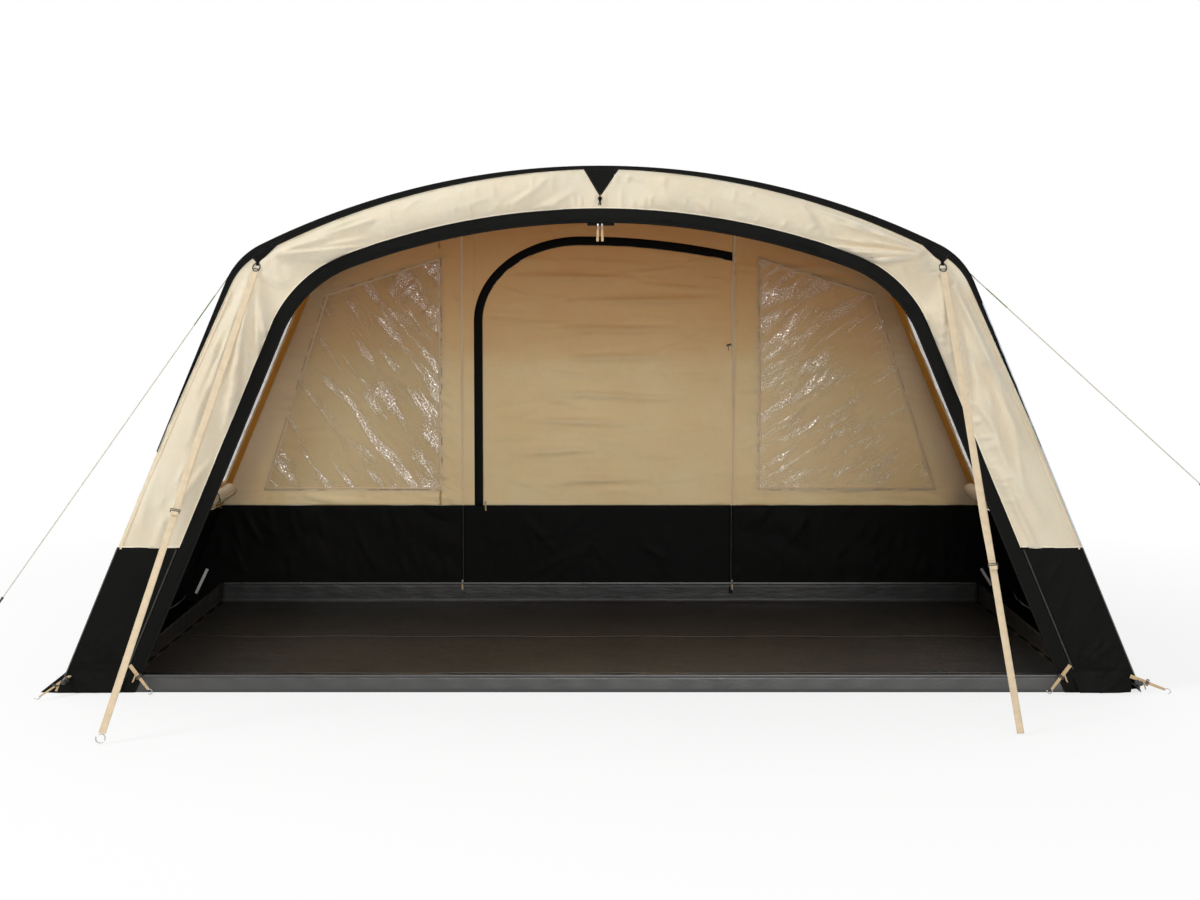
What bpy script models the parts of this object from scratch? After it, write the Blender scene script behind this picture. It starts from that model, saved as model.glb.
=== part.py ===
"""One-room inflatable tent: two air beams carry a tunnel of cloth with an open front and a rear door.

The front of the tent looks along -Y, +X is to the right seen from the front, +Z is up.
All sizes are in metres. The origin is the middle of the groundsheet's underside.
"""

import math

import bmesh
import bpy
from mathutils import Matrix, Vector

# Driving dimensions of the tunnel
arch_top = 2.16
arch_half_foot = 2.24
roof_radius = 3.15
shoulder_radius = 0.30
leg_lean = math.radians(23)
room_depth = 2.40
sleeve_depth = 0.155
cloth = 0.003
gap = 0.0003

# Front opening, set in from the arch, and the black band round it
face_height = 0.17
face_foot_width = 0.255
opening_shoulder_radius = 0.55
band_width = 0.06
opening_top = arch_top - face_height
opening_half_foot = arch_half_foot - face_foot_width
opening_radius = roof_radius - face_height

# Mudwalls, lower at the back than at the front
front_mudwall_top = 0.604
rear_mudwall_top = 0.524

# Bathtub groundsheet
floor_margin = 0.21
floor_half_width = arch_half_foot - floor_margin
rear_rim_height = 0.10
front_rim_height = 0.065

# Air beams and their valves
beam_diameter = 0.145
beam_clearance = 0.0006
valve_height = 0.42
valve_radius = 0.022
valve_length = 0.018
valve_cap_radius = 0.024
valve_cap_thickness = 0.006

# Black strip along the roof's front edge, and the patches below it
strip_width = 0.033
strip_shoulder_width = 0.024
strip_tip_width = 0.003
strip_end_share = 0.457
patch_thickness = 0.002
centre_patch_width = 0.14
centre_patch_drop = 0.115
shoulder_patch_reach = 0.17
shoulder_patch_leg = 0.06
patch_tip_width = 0.009
toggle_radius = 0.011
toggle_drop = 0.045

# Puckers of the front face and of the rear door
face_puff = 0.012
face_fold = 0.005
face_row_shares = (0.0, 0.06, 0.3, 0.5, 0.7, 0.94, 1.0)
face_puff_shares = (0.0, 0.0, 0.8, 1.0, 0.8, 0.0, 0.0)
face_leg_start_share = 0.1
door_pucker = 0.007
door_pucker_pitch = 0.17

# Rear door and its seams, as places across (X) and drops below the arch's top
left_seam = -0.73
right_seam = 0.70
door_left = -0.664
door_peak_place = -0.10
door_peak_drop = 0.215
door_corner_drop = 0.66
door_end_drop = 0.299
zip_band_width = 0.043

# Rear windows, set in from the roof, the legs and the mudwall
window_inner = 0.85
window_inner_drop = 0.213
window_outer_drop = 0.1614
window_top_margin = 0.0825
window_bottom_margin = 0.199
window_foot = 0.091
pane = 0.0015
cover_margin = 0.02
cover_thickness = 0.002

# Windows and rolled blinds of the side walls, set in from the wall's ends, its top and the mudwall
side_window_margin = 0.25
side_window_drop = 0.15
side_window_foot = 0.076
blind_radius = 0.038
blind_droop = 0.03

# Zip sliders and pulls
slider_width = 0.011
slider_length = 0.016
slider_thickness = 0.005
pull_width = 0.009
pull_thickness = 0.003
front_pull_length = 0.075
front_pull_offset = 0.017
front_pull_clearance = 0.0008
slider_rest_above_floor = 0.115

# Storm straps: from the hook below each shoulder patch to the ground in front of the tent
strap_width = 0.028
strap_thickness = 0.002
strap_hook_side = 0.0124
strap_hook_drop = 0.0748
strap_foot_height = 0.006
left_strap_inset = 0.41
left_strap_reach = 0.95
right_strap_inset = 0.67
right_strap_reach = 0.79
hook_length = 0.042
hook_width = 0.034
hook_wire = 0.0035
hook_tuck = 0.0006
buckle_length = 0.016
buckle_wall = 0.004
left_buckle_share = 0.545
right_buckle_share = 0.655
ring_radius = 0.017
ring_wire = 0.0022

# Guy ropes: from the tab at each shoulder down towards a peg outside the picture
rope_diameter = 0.005
guy_tab_length = 0.03
guy_tab_width = 0.022
left_rope_reach = 0.254
left_rope_height = 0.355
right_rope_reach = 0.262
right_rope_height = 0.833
rope_points = 15
runner_length = 0.036
runner_wall = 0.0035
runner_from_end = 0.012

# Peg straps at the outer corners and at the groundsheet's front corners
peg_strap_width = 0.022
peg_strap_thickness = 0.0025
corner_strap_height = 0.07
left_corner_reach = (0.09, 0.20)
right_corner_reach = (0.16, 0.03)
sheet_strap_margin = 0.09
sheet_strap_height = 0.115
sheet_strap_reach = (0.10, 0.06)

# How finely curves are divided
beam_resolution = 4
rope_resolution = 2
roof_steps = 10
shoulder_steps = 5
leg_steps = 5
door_rows = 16
corner_steps = 6
lintel_steps = 5
round_sides = 16
ring_sides = 6
sharp_angle = math.radians(40)

half_depth = room_depth / 2
tunnel_end = half_depth + sleeve_depth
front_inside = -half_depth + cloth
rear_inside = half_depth - cloth
lining = cloth + gap
beam_radius = beam_diameter / 2
lean_cos, lean_sin = math.cos(leg_lean), math.sin(leg_lean)
across, up = Vector((1, 0, 0)), Vector((0, 0, 1))


# Scene, collections and materials
for old in list(bpy.data.objects):
    bpy.data.objects.remove(old)

parts = bpy.data.collections.new("inflatable_tent")
bpy.context.scene.collection.children.link(parts)


def material(name, colour, roughness, metallic=0.0):
    made = bpy.data.materials.new(name)
    made.use_nodes = True
    shader = made.node_tree.nodes["Principled BSDF"]
    shader.inputs["Base Color"].default_value = (*colour, 1.0)
    shader.inputs["Roughness"].default_value = roughness
    shader.inputs["Metallic"].default_value = metallic
    return made


tan_cloth = material("tan_cloth", (0.74, 0.60, 0.42), 0.85)
black_cloth = material("black_cloth", (0.012, 0.013, 0.013), 0.7)
floor_sheet = material("floor_sheet", (0.03, 0.025, 0.022), 0.45)
clear_film = material("clear_film", (0.80, 0.82, 0.80), 0.1)
webbing = material("webbing", (0.55, 0.40, 0.24), 0.8)
beam_skin = material("beam_skin", (0.30, 0.30, 0.31), 0.5)
dark_plastic = material("dark_plastic", (0.02, 0.02, 0.02), 0.4)
bright_metal = material("bright_metal", (0.60, 0.60, 0.58), 0.3, 1.0)
rope_fibre = material("rope_fibre", (0.55, 0.52, 0.45), 0.8)


def place(obj, mat, matrix=None, parent=None):
    """Puts an object in the parts collection with its material and its place."""
    for home in list(obj.users_collection):
        home.objects.unlink(obj)
    parts.objects.link(obj)
    obj.data.materials.clear()
    obj.data.materials.append(mat)
    if parent is not None:
        obj.parent = parent
    if matrix is not None:
        obj.matrix_local = matrix
    return obj


def empty(name, matrix):
    marker = bpy.data.objects.new(name, None)
    parts.objects.link(marker)
    marker.matrix_world = matrix
    return marker


def smooth(obj):
    obj.data.shade_smooth()
    obj.data.set_sharp_from_angle(angle=sharp_angle)


# Shape tools
def plate(name, loops, thickness, mat, matrix=None, parent=None):
    """A flat plate: the outline and any holes are closed splines of a filled 2D curve."""
    flat = bpy.data.curves.new(name, "CURVE")
    flat.dimensions = "2D"
    flat.fill_mode = "BOTH"
    flat.extrude = thickness / 2
    for loop in loops:
        spline = flat.splines.new("POLY")
        spline.points.add(len(loop) - 1)
        for point, (x, y) in zip(spline.points, loop):
            point.co = (x, y, 0, 1)
        spline.use_cyclic_u = True
    return place(bpy.data.objects.new(name, flat), mat, matrix, parent)


def sheet(name, rows, thickness, mat, outward):
    """A sheet of cloth through rows of points, its outer side along outward, its thickness inside it."""
    bm = bmesh.new()
    grid = [[bm.verts.new(point) for point in row] for row in rows]
    for low, high in zip(grid, grid[1:]):
        for a, b, c, d in zip(low, low[1:], high[1:], high):
            bm.faces.new((a, b, c, d))
    bm.normal_update()
    if sum((face.normal.dot(outward(face.calc_center_median())) for face in bm.faces)) < 0:
        bmesh.ops.reverse_faces(bm, faces=bm.faces[:])
    mesh = bpy.data.meshes.new(name)
    bm.to_mesh(mesh)
    bm.free()
    made = place(bpy.data.objects.new(name, mesh), mat)
    wall = made.modifiers.new("wall", "SOLIDIFY")
    wall.thickness = thickness
    wall.offset = -1
    wall.use_even_offset = True
    return made


def box(name, size, mat, matrix=None, parent=None):
    bm = bmesh.new()
    bmesh.ops.create_cube(bm, size=1)
    bmesh.ops.scale(bm, vec=size, verts=bm.verts[:])
    mesh = bpy.data.meshes.new(name)
    bm.to_mesh(mesh)
    bm.free()
    return place(bpy.data.objects.new(name, mesh), mat, matrix, parent)


def disc(name, radius, length, mat, matrix=None, parent=None):
    bm = bmesh.new()
    bmesh.ops.create_cone(
        bm, cap_ends=True, segments=round_sides, radius1=radius, radius2=radius, depth=length
    )
    mesh = bpy.data.meshes.new(name)
    bm.to_mesh(mesh)
    bm.free()
    made = place(bpy.data.objects.new(name, mesh), mat, matrix, parent)
    smooth(made)
    return made


def tube(name, points, radius, resolution, mat, matrix=None, parent=None):
    line = bpy.data.curves.new(name, "CURVE")
    line.dimensions = "3D"
    line.bevel_depth = radius
    line.bevel_resolution = resolution
    line.use_fill_caps = True
    spline = line.splines.new("POLY")
    spline.points.add(len(points) - 1)
    for knot, point in zip(spline.points, points):
        knot.co = (*point, 1)
    return place(bpy.data.objects.new(name, line), mat, matrix, parent)


def ring(name, radius, wire, mat, matrix=None, parent=None):
    bpy.ops.mesh.primitive_torus_add(
        major_radius=radius, minor_radius=wire, major_segments=round_sides, minor_segments=ring_sides
    )
    made = bpy.context.object
    made.name = name
    place(made, mat, matrix, parent)
    smooth(made)
    return made


# Arches: stations run from the top of the arch down its right leg
class Arch:
    """A roof arc, a shoulder fillet and a leaning leg, with the inward direction at each station."""

    def __init__(self, top, half_foot, radius, shoulder):
        self.half_foot = half_foot
        centre = Vector((0, top - radius))
        inward = Vector((-lean_cos, -lean_sin))
        uphill = Vector((-lean_sin, lean_cos))
        start = Vector((half_foot, 0)) + shoulder * inward - centre
        along = start.dot(uphill)
        climb = -along + math.sqrt(along**2 - start.length_squared + (radius - shoulder) ** 2)
        fillet = centre + start + climb * uphill
        self.centre, self.radius = centre, radius
        self.roof_angle = math.atan2(fillet.y - centre.y, fillet.x - centre.x)
        self.stations = []
        for step in range(roof_steps):
            angle = math.pi / 2 + (self.roof_angle - math.pi / 2) * step / roof_steps
            self.stations.append(self.station(centre, radius, angle))
        for step in range(shoulder_steps + 1):
            angle = self.roof_angle + (leg_lean - self.roof_angle) * step / shoulder_steps
            self.stations.append(self.station(fillet, shoulder, angle))
        self.leg_top = self.stations[-1][0].y

    @staticmethod
    def station(centre, radius, angle):
        outward = Vector((math.cos(angle), math.sin(angle)))
        return centre + radius * outward, -outward

    def leg(self, height):
        """The station on the leg at a height, with the sideways step that keeps the height."""
        return Vector((self.half_foot - height * lean_sin / lean_cos, height)), Vector((-1 / lean_cos, 0))

    def roof_height(self, x, depth=0.0):
        """The height of the arch's straight pieces at a place across, moved inwards by a depth."""
        line = inset(self.stations, depth)
        a, b = next((a, b) for a, b in zip(line, line[1:]) if abs(x) <= b.x)
        return a.lerp(b, (abs(x) - a.x) / (b.x - a.x)).y

    def half(self, foot, steps=leg_steps):
        """Stations of the right half, down to a foot height on the leg."""
        leg = [self.leg(self.leg_top + (foot - self.leg_top) * n / steps) for n in range(1, steps + 1)]
        return self.stations + leg

    def beyond(self, x, foot, depth=0.0):
        """Outline points from a place across the roof to a foot height on the right leg."""
        passed = [point for point in inset(self.half(foot), depth) if point.x > x]
        return [Vector((x, self.roof_height(x, depth))), *passed]


def inset(stations, depth):
    """The stations moved inwards by a depth, which is one value or one for each station."""
    depths = depth if isinstance(depth, list) else [depth] * len(stations)
    return [point + inward * d for (point, inward), d in zip(stations, depths)]


def both_sides(half):
    """A whole arch from its left foot to its right foot."""
    return [Vector((-p.x, p.y)) for p in reversed(half[1:])] + half


outer = Arch(arch_top, arch_half_foot, roof_radius, shoulder_radius)
opening = Arch(opening_top, opening_half_foot, opening_radius, opening_shoulder_radius)
strip_end_height = front_mudwall_top + (outer.leg_top - front_mudwall_top) * strip_end_share
shoulder_top, shoulder_inward = outer.stations[roof_steps]
strap_hook = shoulder_top + Vector((strap_hook_side, -strap_hook_drop))
upright = Matrix.Rotation(math.pi / 2, 4, "X")


def standing(depth):
    """The place of a plate whose outline is drawn in X and Z, centred on a depth along Y."""
    return Matrix.Translation((0, depth, 0)) @ upright


def from_centre(point):
    return Vector((point.x, 0, point.z - outer.centre.y))


def to_front(point):
    return Vector((0, -1, 0))


# Groundsheet: a shallow tray with a lower rim at the front
def groundsheet():
    bm = bmesh.new()
    bmesh.ops.create_cube(bm, size=1)
    length = rear_inside - front_inside - 2 * gap
    bmesh.ops.scale(bm, vec=(2 * floor_half_width, length, rear_rim_height), verts=bm.verts[:])
    bmesh.ops.translate(bm, vec=(0, 0, rear_rim_height / 2), verts=bm.verts[:])
    lid = [face for face in bm.faces if face.normal.z > 0.5]
    bmesh.ops.delete(bm, geom=lid, context="FACES")
    for vert in bm.verts:
        if vert.co.z > front_rim_height and vert.co.y < 0:
            vert.co.z = front_rim_height
    mesh = bpy.data.meshes.new("groundsheet")
    bm.to_mesh(mesh)
    bm.free()
    made = place(bpy.data.objects.new("groundsheet", mesh), floor_sheet)
    wall = made.modifiers.new("wall", "SOLIDIFY")
    wall.thickness = cloth
    wall.offset = -1
    wall.use_even_offset = True


# Air beams, each one tube along the arch, with a capped valve low on its right leg
beam_inset = cloth + beam_clearance + beam_radius
front_beam_depth = front_inside + beam_clearance + beam_radius
rear_beam_depth = half_depth + 2 * gap + cover_thickness + beam_radius
beam_foot = beam_radius * lean_sin + gap


def beam(name, depth):
    line = both_sides(inset(outer.half(beam_foot), beam_inset))
    tube(name, [(p.x, depth, p.y) for p in line], beam_radius, beam_resolution, beam_skin)


def valve(name, depth):
    """A valve on the beam's inner side; its local Z points into the tent, its X along the depth."""
    point, sideways = outer.leg(valve_height)
    seat = point + sideways * (beam_inset + beam_radius + gap)
    inward = Vector((-lean_cos, 0, -lean_sin))
    axis = Vector((0, 1, 0))
    third = inward.cross(axis)
    turn = Matrix((axis, third, inward)).transposed().to_4x4()
    frame = Matrix.Translation((seat.x, depth, seat.y)) @ turn
    middle = Matrix.Translation((0, 0, valve_length / 2))
    disc(name, valve_radius, valve_length, dark_plastic, frame @ middle)
    hinge = empty(name + "_cap_hinge", frame @ Matrix.Translation((0, valve_cap_radius, valve_length + gap)))
    drop = Matrix.Translation((0, -valve_cap_radius, valve_cap_thickness / 2))
    disc(name + "_cap", valve_cap_radius, valve_cap_thickness, dark_plastic, drop, hinge)


# Roof, side walls, their mudwalls, windows and rolled blinds
def roof():
    line = both_sides([point for point, _ in outer.stations])
    rows = [[(p.x, depth, p.y) for p in line] for depth in (front_inside + gap, tunnel_end)]
    sheet("roof_panel", rows, cloth, tan_cloth, from_centre)


def wall_frame(side):
    """The frame of a leaning side wall: X along the tent, Y up the slope, Z out of the tent."""
    along = Vector((0, side, 0))
    uphill = Vector((-side * lean_sin, 0, lean_cos))
    outwards = along.cross(uphill)
    turn = Matrix((along, uphill, outwards)).transposed().to_4x4()
    return Matrix.Translation((side * arch_half_foot, 0, 0)) @ turn


def side_wall(word, side):
    frame = wall_frame(side) @ Matrix.Translation((0, 0, -cloth / 2))
    front, rear = front_inside + gap, tunnel_end
    slope_top = outer.leg_top / lean_cos - gap

    def on_wall(points):
        return [(side * y, height / lean_cos) for y, height in points]

    seam = [(rear, rear_mudwall_top), (half_depth, rear_mudwall_top), (front, front_mudwall_top)]
    edge = on_wall(seam) + [(side * front, slope_top), (side * rear, slope_top)]
    low, high = front_mudwall_top + side_window_foot, outer.leg_top - side_window_drop
    near, away = side_window_margin - half_depth, half_depth - side_window_margin
    hole = on_wall([(near, low), (away, low), (away, high), (near, high)])
    plate("side_wall_" + word, [edge, hole], cloth, tan_cloth, frame)
    lifted = [(side * y, slope - gap) for (y, _), (_, slope) in zip(seam, on_wall(seam))]
    foot = gap + cloth * lean_sin
    ground = on_wall([(front, foot), (rear, foot)])
    plate("side_mudwall_" + word, [lifted + ground], cloth, black_cloth, frame)
    low_inside, high_inside = low / lean_cos + gap, high / lean_cos - gap
    near_inside, away_inside = side * (near + gap), side * (away - gap)
    film = [
        (near_inside, low_inside),
        (away_inside, low_inside),
        (away_inside, high_inside),
        (near_inside, high_inside),
    ]
    plate("side_window_" + word, [film], pane, clear_film, frame)
    middle = side * (near + away) / 2
    droop = low / lean_cos - blind_droop
    depth = -cloth / 2 - gap - blind_radius
    roll = frame @ Matrix.Translation((middle, droop, depth)) @ Matrix.Rotation(math.pi / 2, 4, "Y")
    disc("side_blind_" + word, blind_radius, away - near, tan_cloth, roll)


# Front face: the puckered cloth between the roof edge and the opening's band
def strip_widths(stations):
    """The width of the black strip at each station: full on the roof, tapering down the leg."""
    widths = []
    shoulder_start, shoulder_end = roof_steps, roof_steps + shoulder_steps
    for n, (point, _) in enumerate(stations):
        if n <= shoulder_start:
            widths.append(strip_width)
        elif n <= shoulder_end:
            share = (n - shoulder_start) / shoulder_steps
            widths.append(strip_width + (strip_shoulder_width - strip_width) * share)
        else:
            share = (outer.leg_top - point.y) / (outer.leg_top - strip_end_height)
            widths.append(strip_shoulder_width + (strip_tip_width - strip_shoulder_width) * share)
    return widths


def face_stations():
    """Stations whose legs have one row at the strip's end, and the strip's width along them."""
    upper = outer.half(strip_end_height, 2)
    return upper, strip_widths(upper)


def front_face():
    upper, widths = face_stations()
    leg = [
        outer.leg(strip_end_height + (front_mudwall_top - strip_end_height) * n / leg_steps)
        for n in range(1, leg_steps + 1)
    ]
    edge = inset(upper, [w + gap for w in widths]) + [point for point, _ in leg]
    heights = [point.y for point in edge[roof_steps + shoulder_steps + 1 :]]
    inner = [point for point, _ in opening.stations]
    first, last = heights[0], heights[-1]
    start = opening.leg_top + (last - opening.leg_top) * face_leg_start_share
    inner += [opening.leg(start + (last - start) * (first - z) / (first - last))[0] for z in heights]
    rows = []
    for share, puff in zip(face_row_shares, face_puff_shares):
        half = []
        for n, (a, b) in enumerate(zip(edge, inner)):
            out = 0
            if 1 < n < roof_steps - 1:
                fold = face_puff + face_fold * math.cos(math.pi * n)
                out = fold * math.sin(math.pi * (n - 1) / (roof_steps - 2)) ** 2
            if n > roof_steps + shoulder_steps:
                run = (outer.leg_top - a.y) / (outer.leg_top - front_mudwall_top)
                out = face_puff * math.sin(math.pi * run) ** 2
            half.append((a.lerp(b, share), puff * out))
        left = [(-p.x, -half_depth - out, p.y) for p, out in reversed(half[1:])]
        rows.append(left + [(p.x, -half_depth - out, p.y) for p, out in half])
    sheet("front_face", rows, cloth, tan_cloth, to_front)


def front_band():
    """The black cover strip of the front panel's zip, all round the opening."""
    rows = []
    for depth in (gap, band_width):
        line = both_sides(inset(opening.half(gap), depth))
        rows.append([(p.x, -half_depth, p.y) for p in line])
    sheet("opening_band", rows, cloth, black_cloth, to_front)


def front_mudwall(word, side):
    corners = [
        outer.leg(gap)[0],
        outer.leg(front_mudwall_top - gap)[0],
        opening.leg(front_mudwall_top - gap)[0],
        opening.leg(gap)[0],
    ]
    outline = [(side * p.x, p.y) for p in corners]
    plate("front_mudwall_" + word, [outline], cloth, black_cloth, standing(-half_depth + cloth / 2))


def edge_strip():
    upper, widths = face_stations()
    rows = []
    for depths in ([0] * len(upper), widths):
        line = both_sides(inset(upper, depths))
        rows.append([(p.x, -half_depth, p.y) for p in line])
    sheet("roof_edge_strip", rows, cloth, black_cloth, to_front)


# Patches under the strip, with the toggle in the middle
patch_depth = -half_depth - gap - patch_thickness / 2


def patches():
    half = centre_patch_width / 2
    top = arch_top - strip_width / 2
    corner = outer.roof_height(half) - strip_width / 2
    tip = arch_top - centre_patch_drop
    hem = patch_tip_width / 2
    outline = [(half, corner), (0, top), (-half, corner), (-hem, tip), (hem, tip)]
    plate("patch_centre", [outline], patch_thickness, black_cloth, standing(patch_depth))
    start = shoulder_top + shoulder_inward * (strip_width / 2)
    back = Vector((-math.sin(outer.roof_angle), math.cos(outer.roof_angle)))
    for word, side in (("left", -1), ("right", 1)):
        corners = [
            start + back * (shoulder_patch_reach - shoulder_patch_leg),
            start - back * shoulder_patch_leg,
            strap_hook + Vector((hem, gap)),
            strap_hook + Vector((-hem, gap)),
        ]
        outline = [(side * p.x, p.y) for p in corners]
        plate("patch_" + word, [outline], patch_thickness, black_cloth, standing(patch_depth))
    hinge = empty("toggle_hinge", Matrix.Translation((0, -half_depth - gap - toggle_radius, tip - gap)))
    drop = Matrix.Translation((0, 0, -toggle_drop / 2))
    disc("centre_toggle", toggle_radius, toggle_drop, dark_plastic, drop, hinge)


# Rear wall
def rear_depth():
    return half_depth - cloth / 2


def window_corners(spread=0.0):
    """The corners of the right rear window, moved outwards by a spread."""
    bottom = rear_mudwall_top + window_foot
    bottom_outer = outer.leg(bottom)[0].x - window_bottom_margin
    top_outer = outer.leg(outer.leg_top)[0].x - window_top_margin
    outer_height = outer.roof_height(top_outer) - window_outer_drop
    inner_height = outer.roof_height(window_inner) - window_inner_drop
    return [
        (window_inner - spread, bottom - spread),
        (bottom_outer + spread, bottom - spread),
        (top_outer + spread, outer_height + spread),
        (window_inner - spread, inner_height + spread),
    ]


def mirrored(points, side):
    return [(side * x, z) for x, z in points]


def rear_panels():
    for word, side, seam in (("left", -1, -left_seam), ("right", 1, right_seam)):
        arch = [(p.x, p.y) for p in outer.beyond(seam, rear_mudwall_top, lining)]
        outline = mirrored([(seam, rear_mudwall_top), *arch], side)
        hole = mirrored(window_corners(), side)
        plate("rear_panel_" + word, [outline, hole], cloth, tan_cloth, standing(rear_depth()))
        film = mirrored(window_corners(-gap), side)
        plate("rear_window_" + word, [film], pane, clear_film, standing(rear_depth()))
        low = rear_mudwall_top - gap
        inside, shoulder = inset([outer.leg(gap), outer.leg(low)], lining)
        skirt = mirrored([(seam, gap), (inside.x, inside.y), (shoulder.x, shoulder.y), (seam, low)], side)
        plate("rear_mudwall_" + word, [skirt], cloth, black_cloth, standing(rear_depth()))
        cover = mirrored(window_corners(cover_margin), side)
        behind = half_depth + gap + cover_thickness / 2
        plate("rear_cover_" + word, [cover], cover_thickness, tan_cloth, standing(behind))


def door_line(shift):
    """The door's left side, corner and lintel, moved inwards by a shift, from the foot up and across."""
    corner, door_peak = arch_top - door_corner_drop, arch_top - door_peak_drop
    wide = door_peak_place - door_left - shift
    tall = door_peak - corner - shift
    line = [(door_left + shift, rear_mudwall_top)]
    for step in range(corner_steps + 1):
        angle = math.pi / 2 * step / corner_steps
        line.append((door_peak_place - wide * math.cos(angle), corner + tall * math.sin(angle)))
    fall = door_end_drop - door_peak_drop
    for step in range(1, lintel_steps + 1):
        share = step / lintel_steps
        x = door_peak_place + (right_seam - gap - door_peak_place) * share
        line.append((x, door_peak - shift - fall * share**2))
    return line


def door_surround():
    left, right = left_seam + gap, right_seam - gap
    arch = outer.beyond(0, rear_mudwall_top, lining)
    roof_line = [(-p.x, p.y) for p in reversed(arch) if p.x < -left]
    roof_line += [(p.x, p.y) for p in arch if 0 < p.x < right]
    outline = [(left, rear_mudwall_top), (left, outer.roof_height(left, lining)), *roof_line]
    outline += [(right, outer.roof_height(right, lining)), *reversed(door_line(0))]
    plate("door_surround", [outline], cloth, tan_cloth, standing(rear_depth()))
    band = door_line(gap) + list(reversed(door_line(zip_band_width)))
    plate("door_zip_band", [band], cloth, black_cloth, standing(rear_depth()))


def rear_door():
    """The door leaf, puckered across its height; it swings in about its right edge."""
    edge = door_line(zip_band_width + gap)[1:]
    foot = rear_mudwall_top + gap
    left, right = edge[0][0], edge[-1][0]
    rows = []
    for row in range(door_rows + 1):
        share = row / door_rows
        line = []
        for x, top in edge:
            z = foot + (top - foot) * share
            calm = math.sin(math.pi * (x - left) / (right - left)) * math.sin(math.pi * share)
            fold = door_pucker * calm * (1 + math.sin(2 * math.pi * z / door_pucker_pitch)) / 2
            line.append((x - right, -fold, z))
        rows.append(line)
    made = sheet("rear_door", rows, cloth, tan_cloth, to_front)
    hinge = empty("rear_door_hinge", Matrix.Translation((right, rear_inside, 0)))
    made.parent = hinge
    low = rear_mudwall_top + slider_length
    spot = Matrix.Translation((left - right + slider_width, -gap - slider_thickness / 2, low))
    slider = (slider_width, slider_thickness, slider_length)
    box("door_zip_slider", slider, bright_metal, spot, hinge)


def mudwall_flap():
    """The mudwall under the door, which folds out and down about its foot."""
    hinge = empty("mudwall_flap_hinge", Matrix.Translation((0, half_depth, gap)))
    left, right = left_seam + gap, right_seam - gap
    top = rear_mudwall_top - 2 * gap
    outline = [(left, 0), (right, 0), (right, top), (left, top)]
    centre = Matrix.Translation((0, -cloth / 2, 0)) @ upright
    plate("mudwall_flap", [outline], cloth, black_cloth, centre, hinge)
    for word, side, seam in (("left", -1, left_seam), ("right", 1, right_seam)):
        x = seam + side * (slider_width / 2 + gap)
        spot = Matrix.Translation((x, rear_inside - gap - slider_thickness / 2, slider_rest_above_floor))
        slider = (slider_width, slider_thickness, slider_length)
        box("mudwall_slider_" + word, slider, bright_metal, spot)


# Front zip sliders with their hanging pulls, at the top of the opening
def front_pulls():
    turn_centre = Vector((0, front_inside - cloth / 2, opening.centre.y))
    radius = opening_radius - band_width - front_pull_clearance
    for word, side in (("left", -1), ("right", 1)):
        hinge = empty("front_pull_centre_" + word, Matrix.Translation(turn_centre))
        slant = Matrix.Rotation(side * front_pull_offset / 2 / radius, 4, "Y")
        spot = slant @ Matrix.Translation((0, 0, radius - front_pull_length / 2))
        size = (pull_width, pull_thickness, front_pull_length)
        box("front_pull_" + word, size, webbing, spot, hinge)


# Storm straps with hook, ladder buckle and ring
def strap_frame(side, inset_foot, reach):
    """The frame of a taut strap: local -Z runs down the strap, local X lies along the tent's face."""
    start = Vector((side * strap_hook.x, -half_depth - gap - hook_wire, strap_hook.y + hook_tuck))
    end = Vector((side * (arch_half_foot - inset_foot), -half_depth - reach, strap_foot_height))
    back = (start - end).normalized()
    level = (across - across.dot(back) * back).normalized()
    turn = Matrix((level, back.cross(level), back)).transposed().to_4x4()
    return Matrix.Translation(start) @ turn, (start - end).length


def oval(width, height):
    angles = [2 * math.pi * n / round_sides for n in range(round_sides)]
    return [(width / 2 * math.cos(angle), height / 2 * math.sin(angle)) for angle in angles]


def storm_strap(word, side, inset_foot, reach, buckle_share):
    frame, length = strap_frame(side, inset_foot, reach)
    line = empty("storm_strap_line_" + word, frame)
    hook = Matrix.Translation((0, 0, -hook_length / 2)) @ upright
    loops = [
        oval(hook_width, hook_length),
        oval(hook_width - 4 * hook_wire, hook_length - 4 * hook_wire),
    ]
    plate("shoulder_hook_" + word, loops, 2 * hook_wire, bright_metal, hook, line)
    top = hook_length + gap
    ring_room = 2 * ring_radius + 2 * ring_wire + gap if word == "left" else 0
    run = length - top - ring_room
    centre = Matrix.Translation((0, 0, -top - run / 2))
    box("storm_strap_" + word, (strap_width, strap_thickness, run), webbing, centre, line)
    hole_w, hole_h = strap_width + 2 * gap, strap_thickness + 2 * gap
    outer_w, outer_h = hole_w + 2 * buckle_wall, hole_h + 2 * buckle_wall
    loops = [
        [(-w / 2, -h / 2), (w / 2, -h / 2), (w / 2, h / 2), (-w / 2, h / 2)]
        for w, h in ((outer_w, outer_h), (hole_w, hole_h))
    ]
    along = Matrix.Translation((0, 0, -top - run * buckle_share))
    plate("strap_buckle_" + word, loops, buckle_length, bright_metal, along, line)
    if word == "left":
        hinge = empty("strap_ring_hinge", frame @ Matrix.Translation((0, 0, -top - run - gap - ring_wire)))
        spot = Matrix.Translation((0, 0, -ring_radius)) @ upright
        ring("strap_ring_" + word, ring_radius, ring_wire, bright_metal, spot, hinge)


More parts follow.
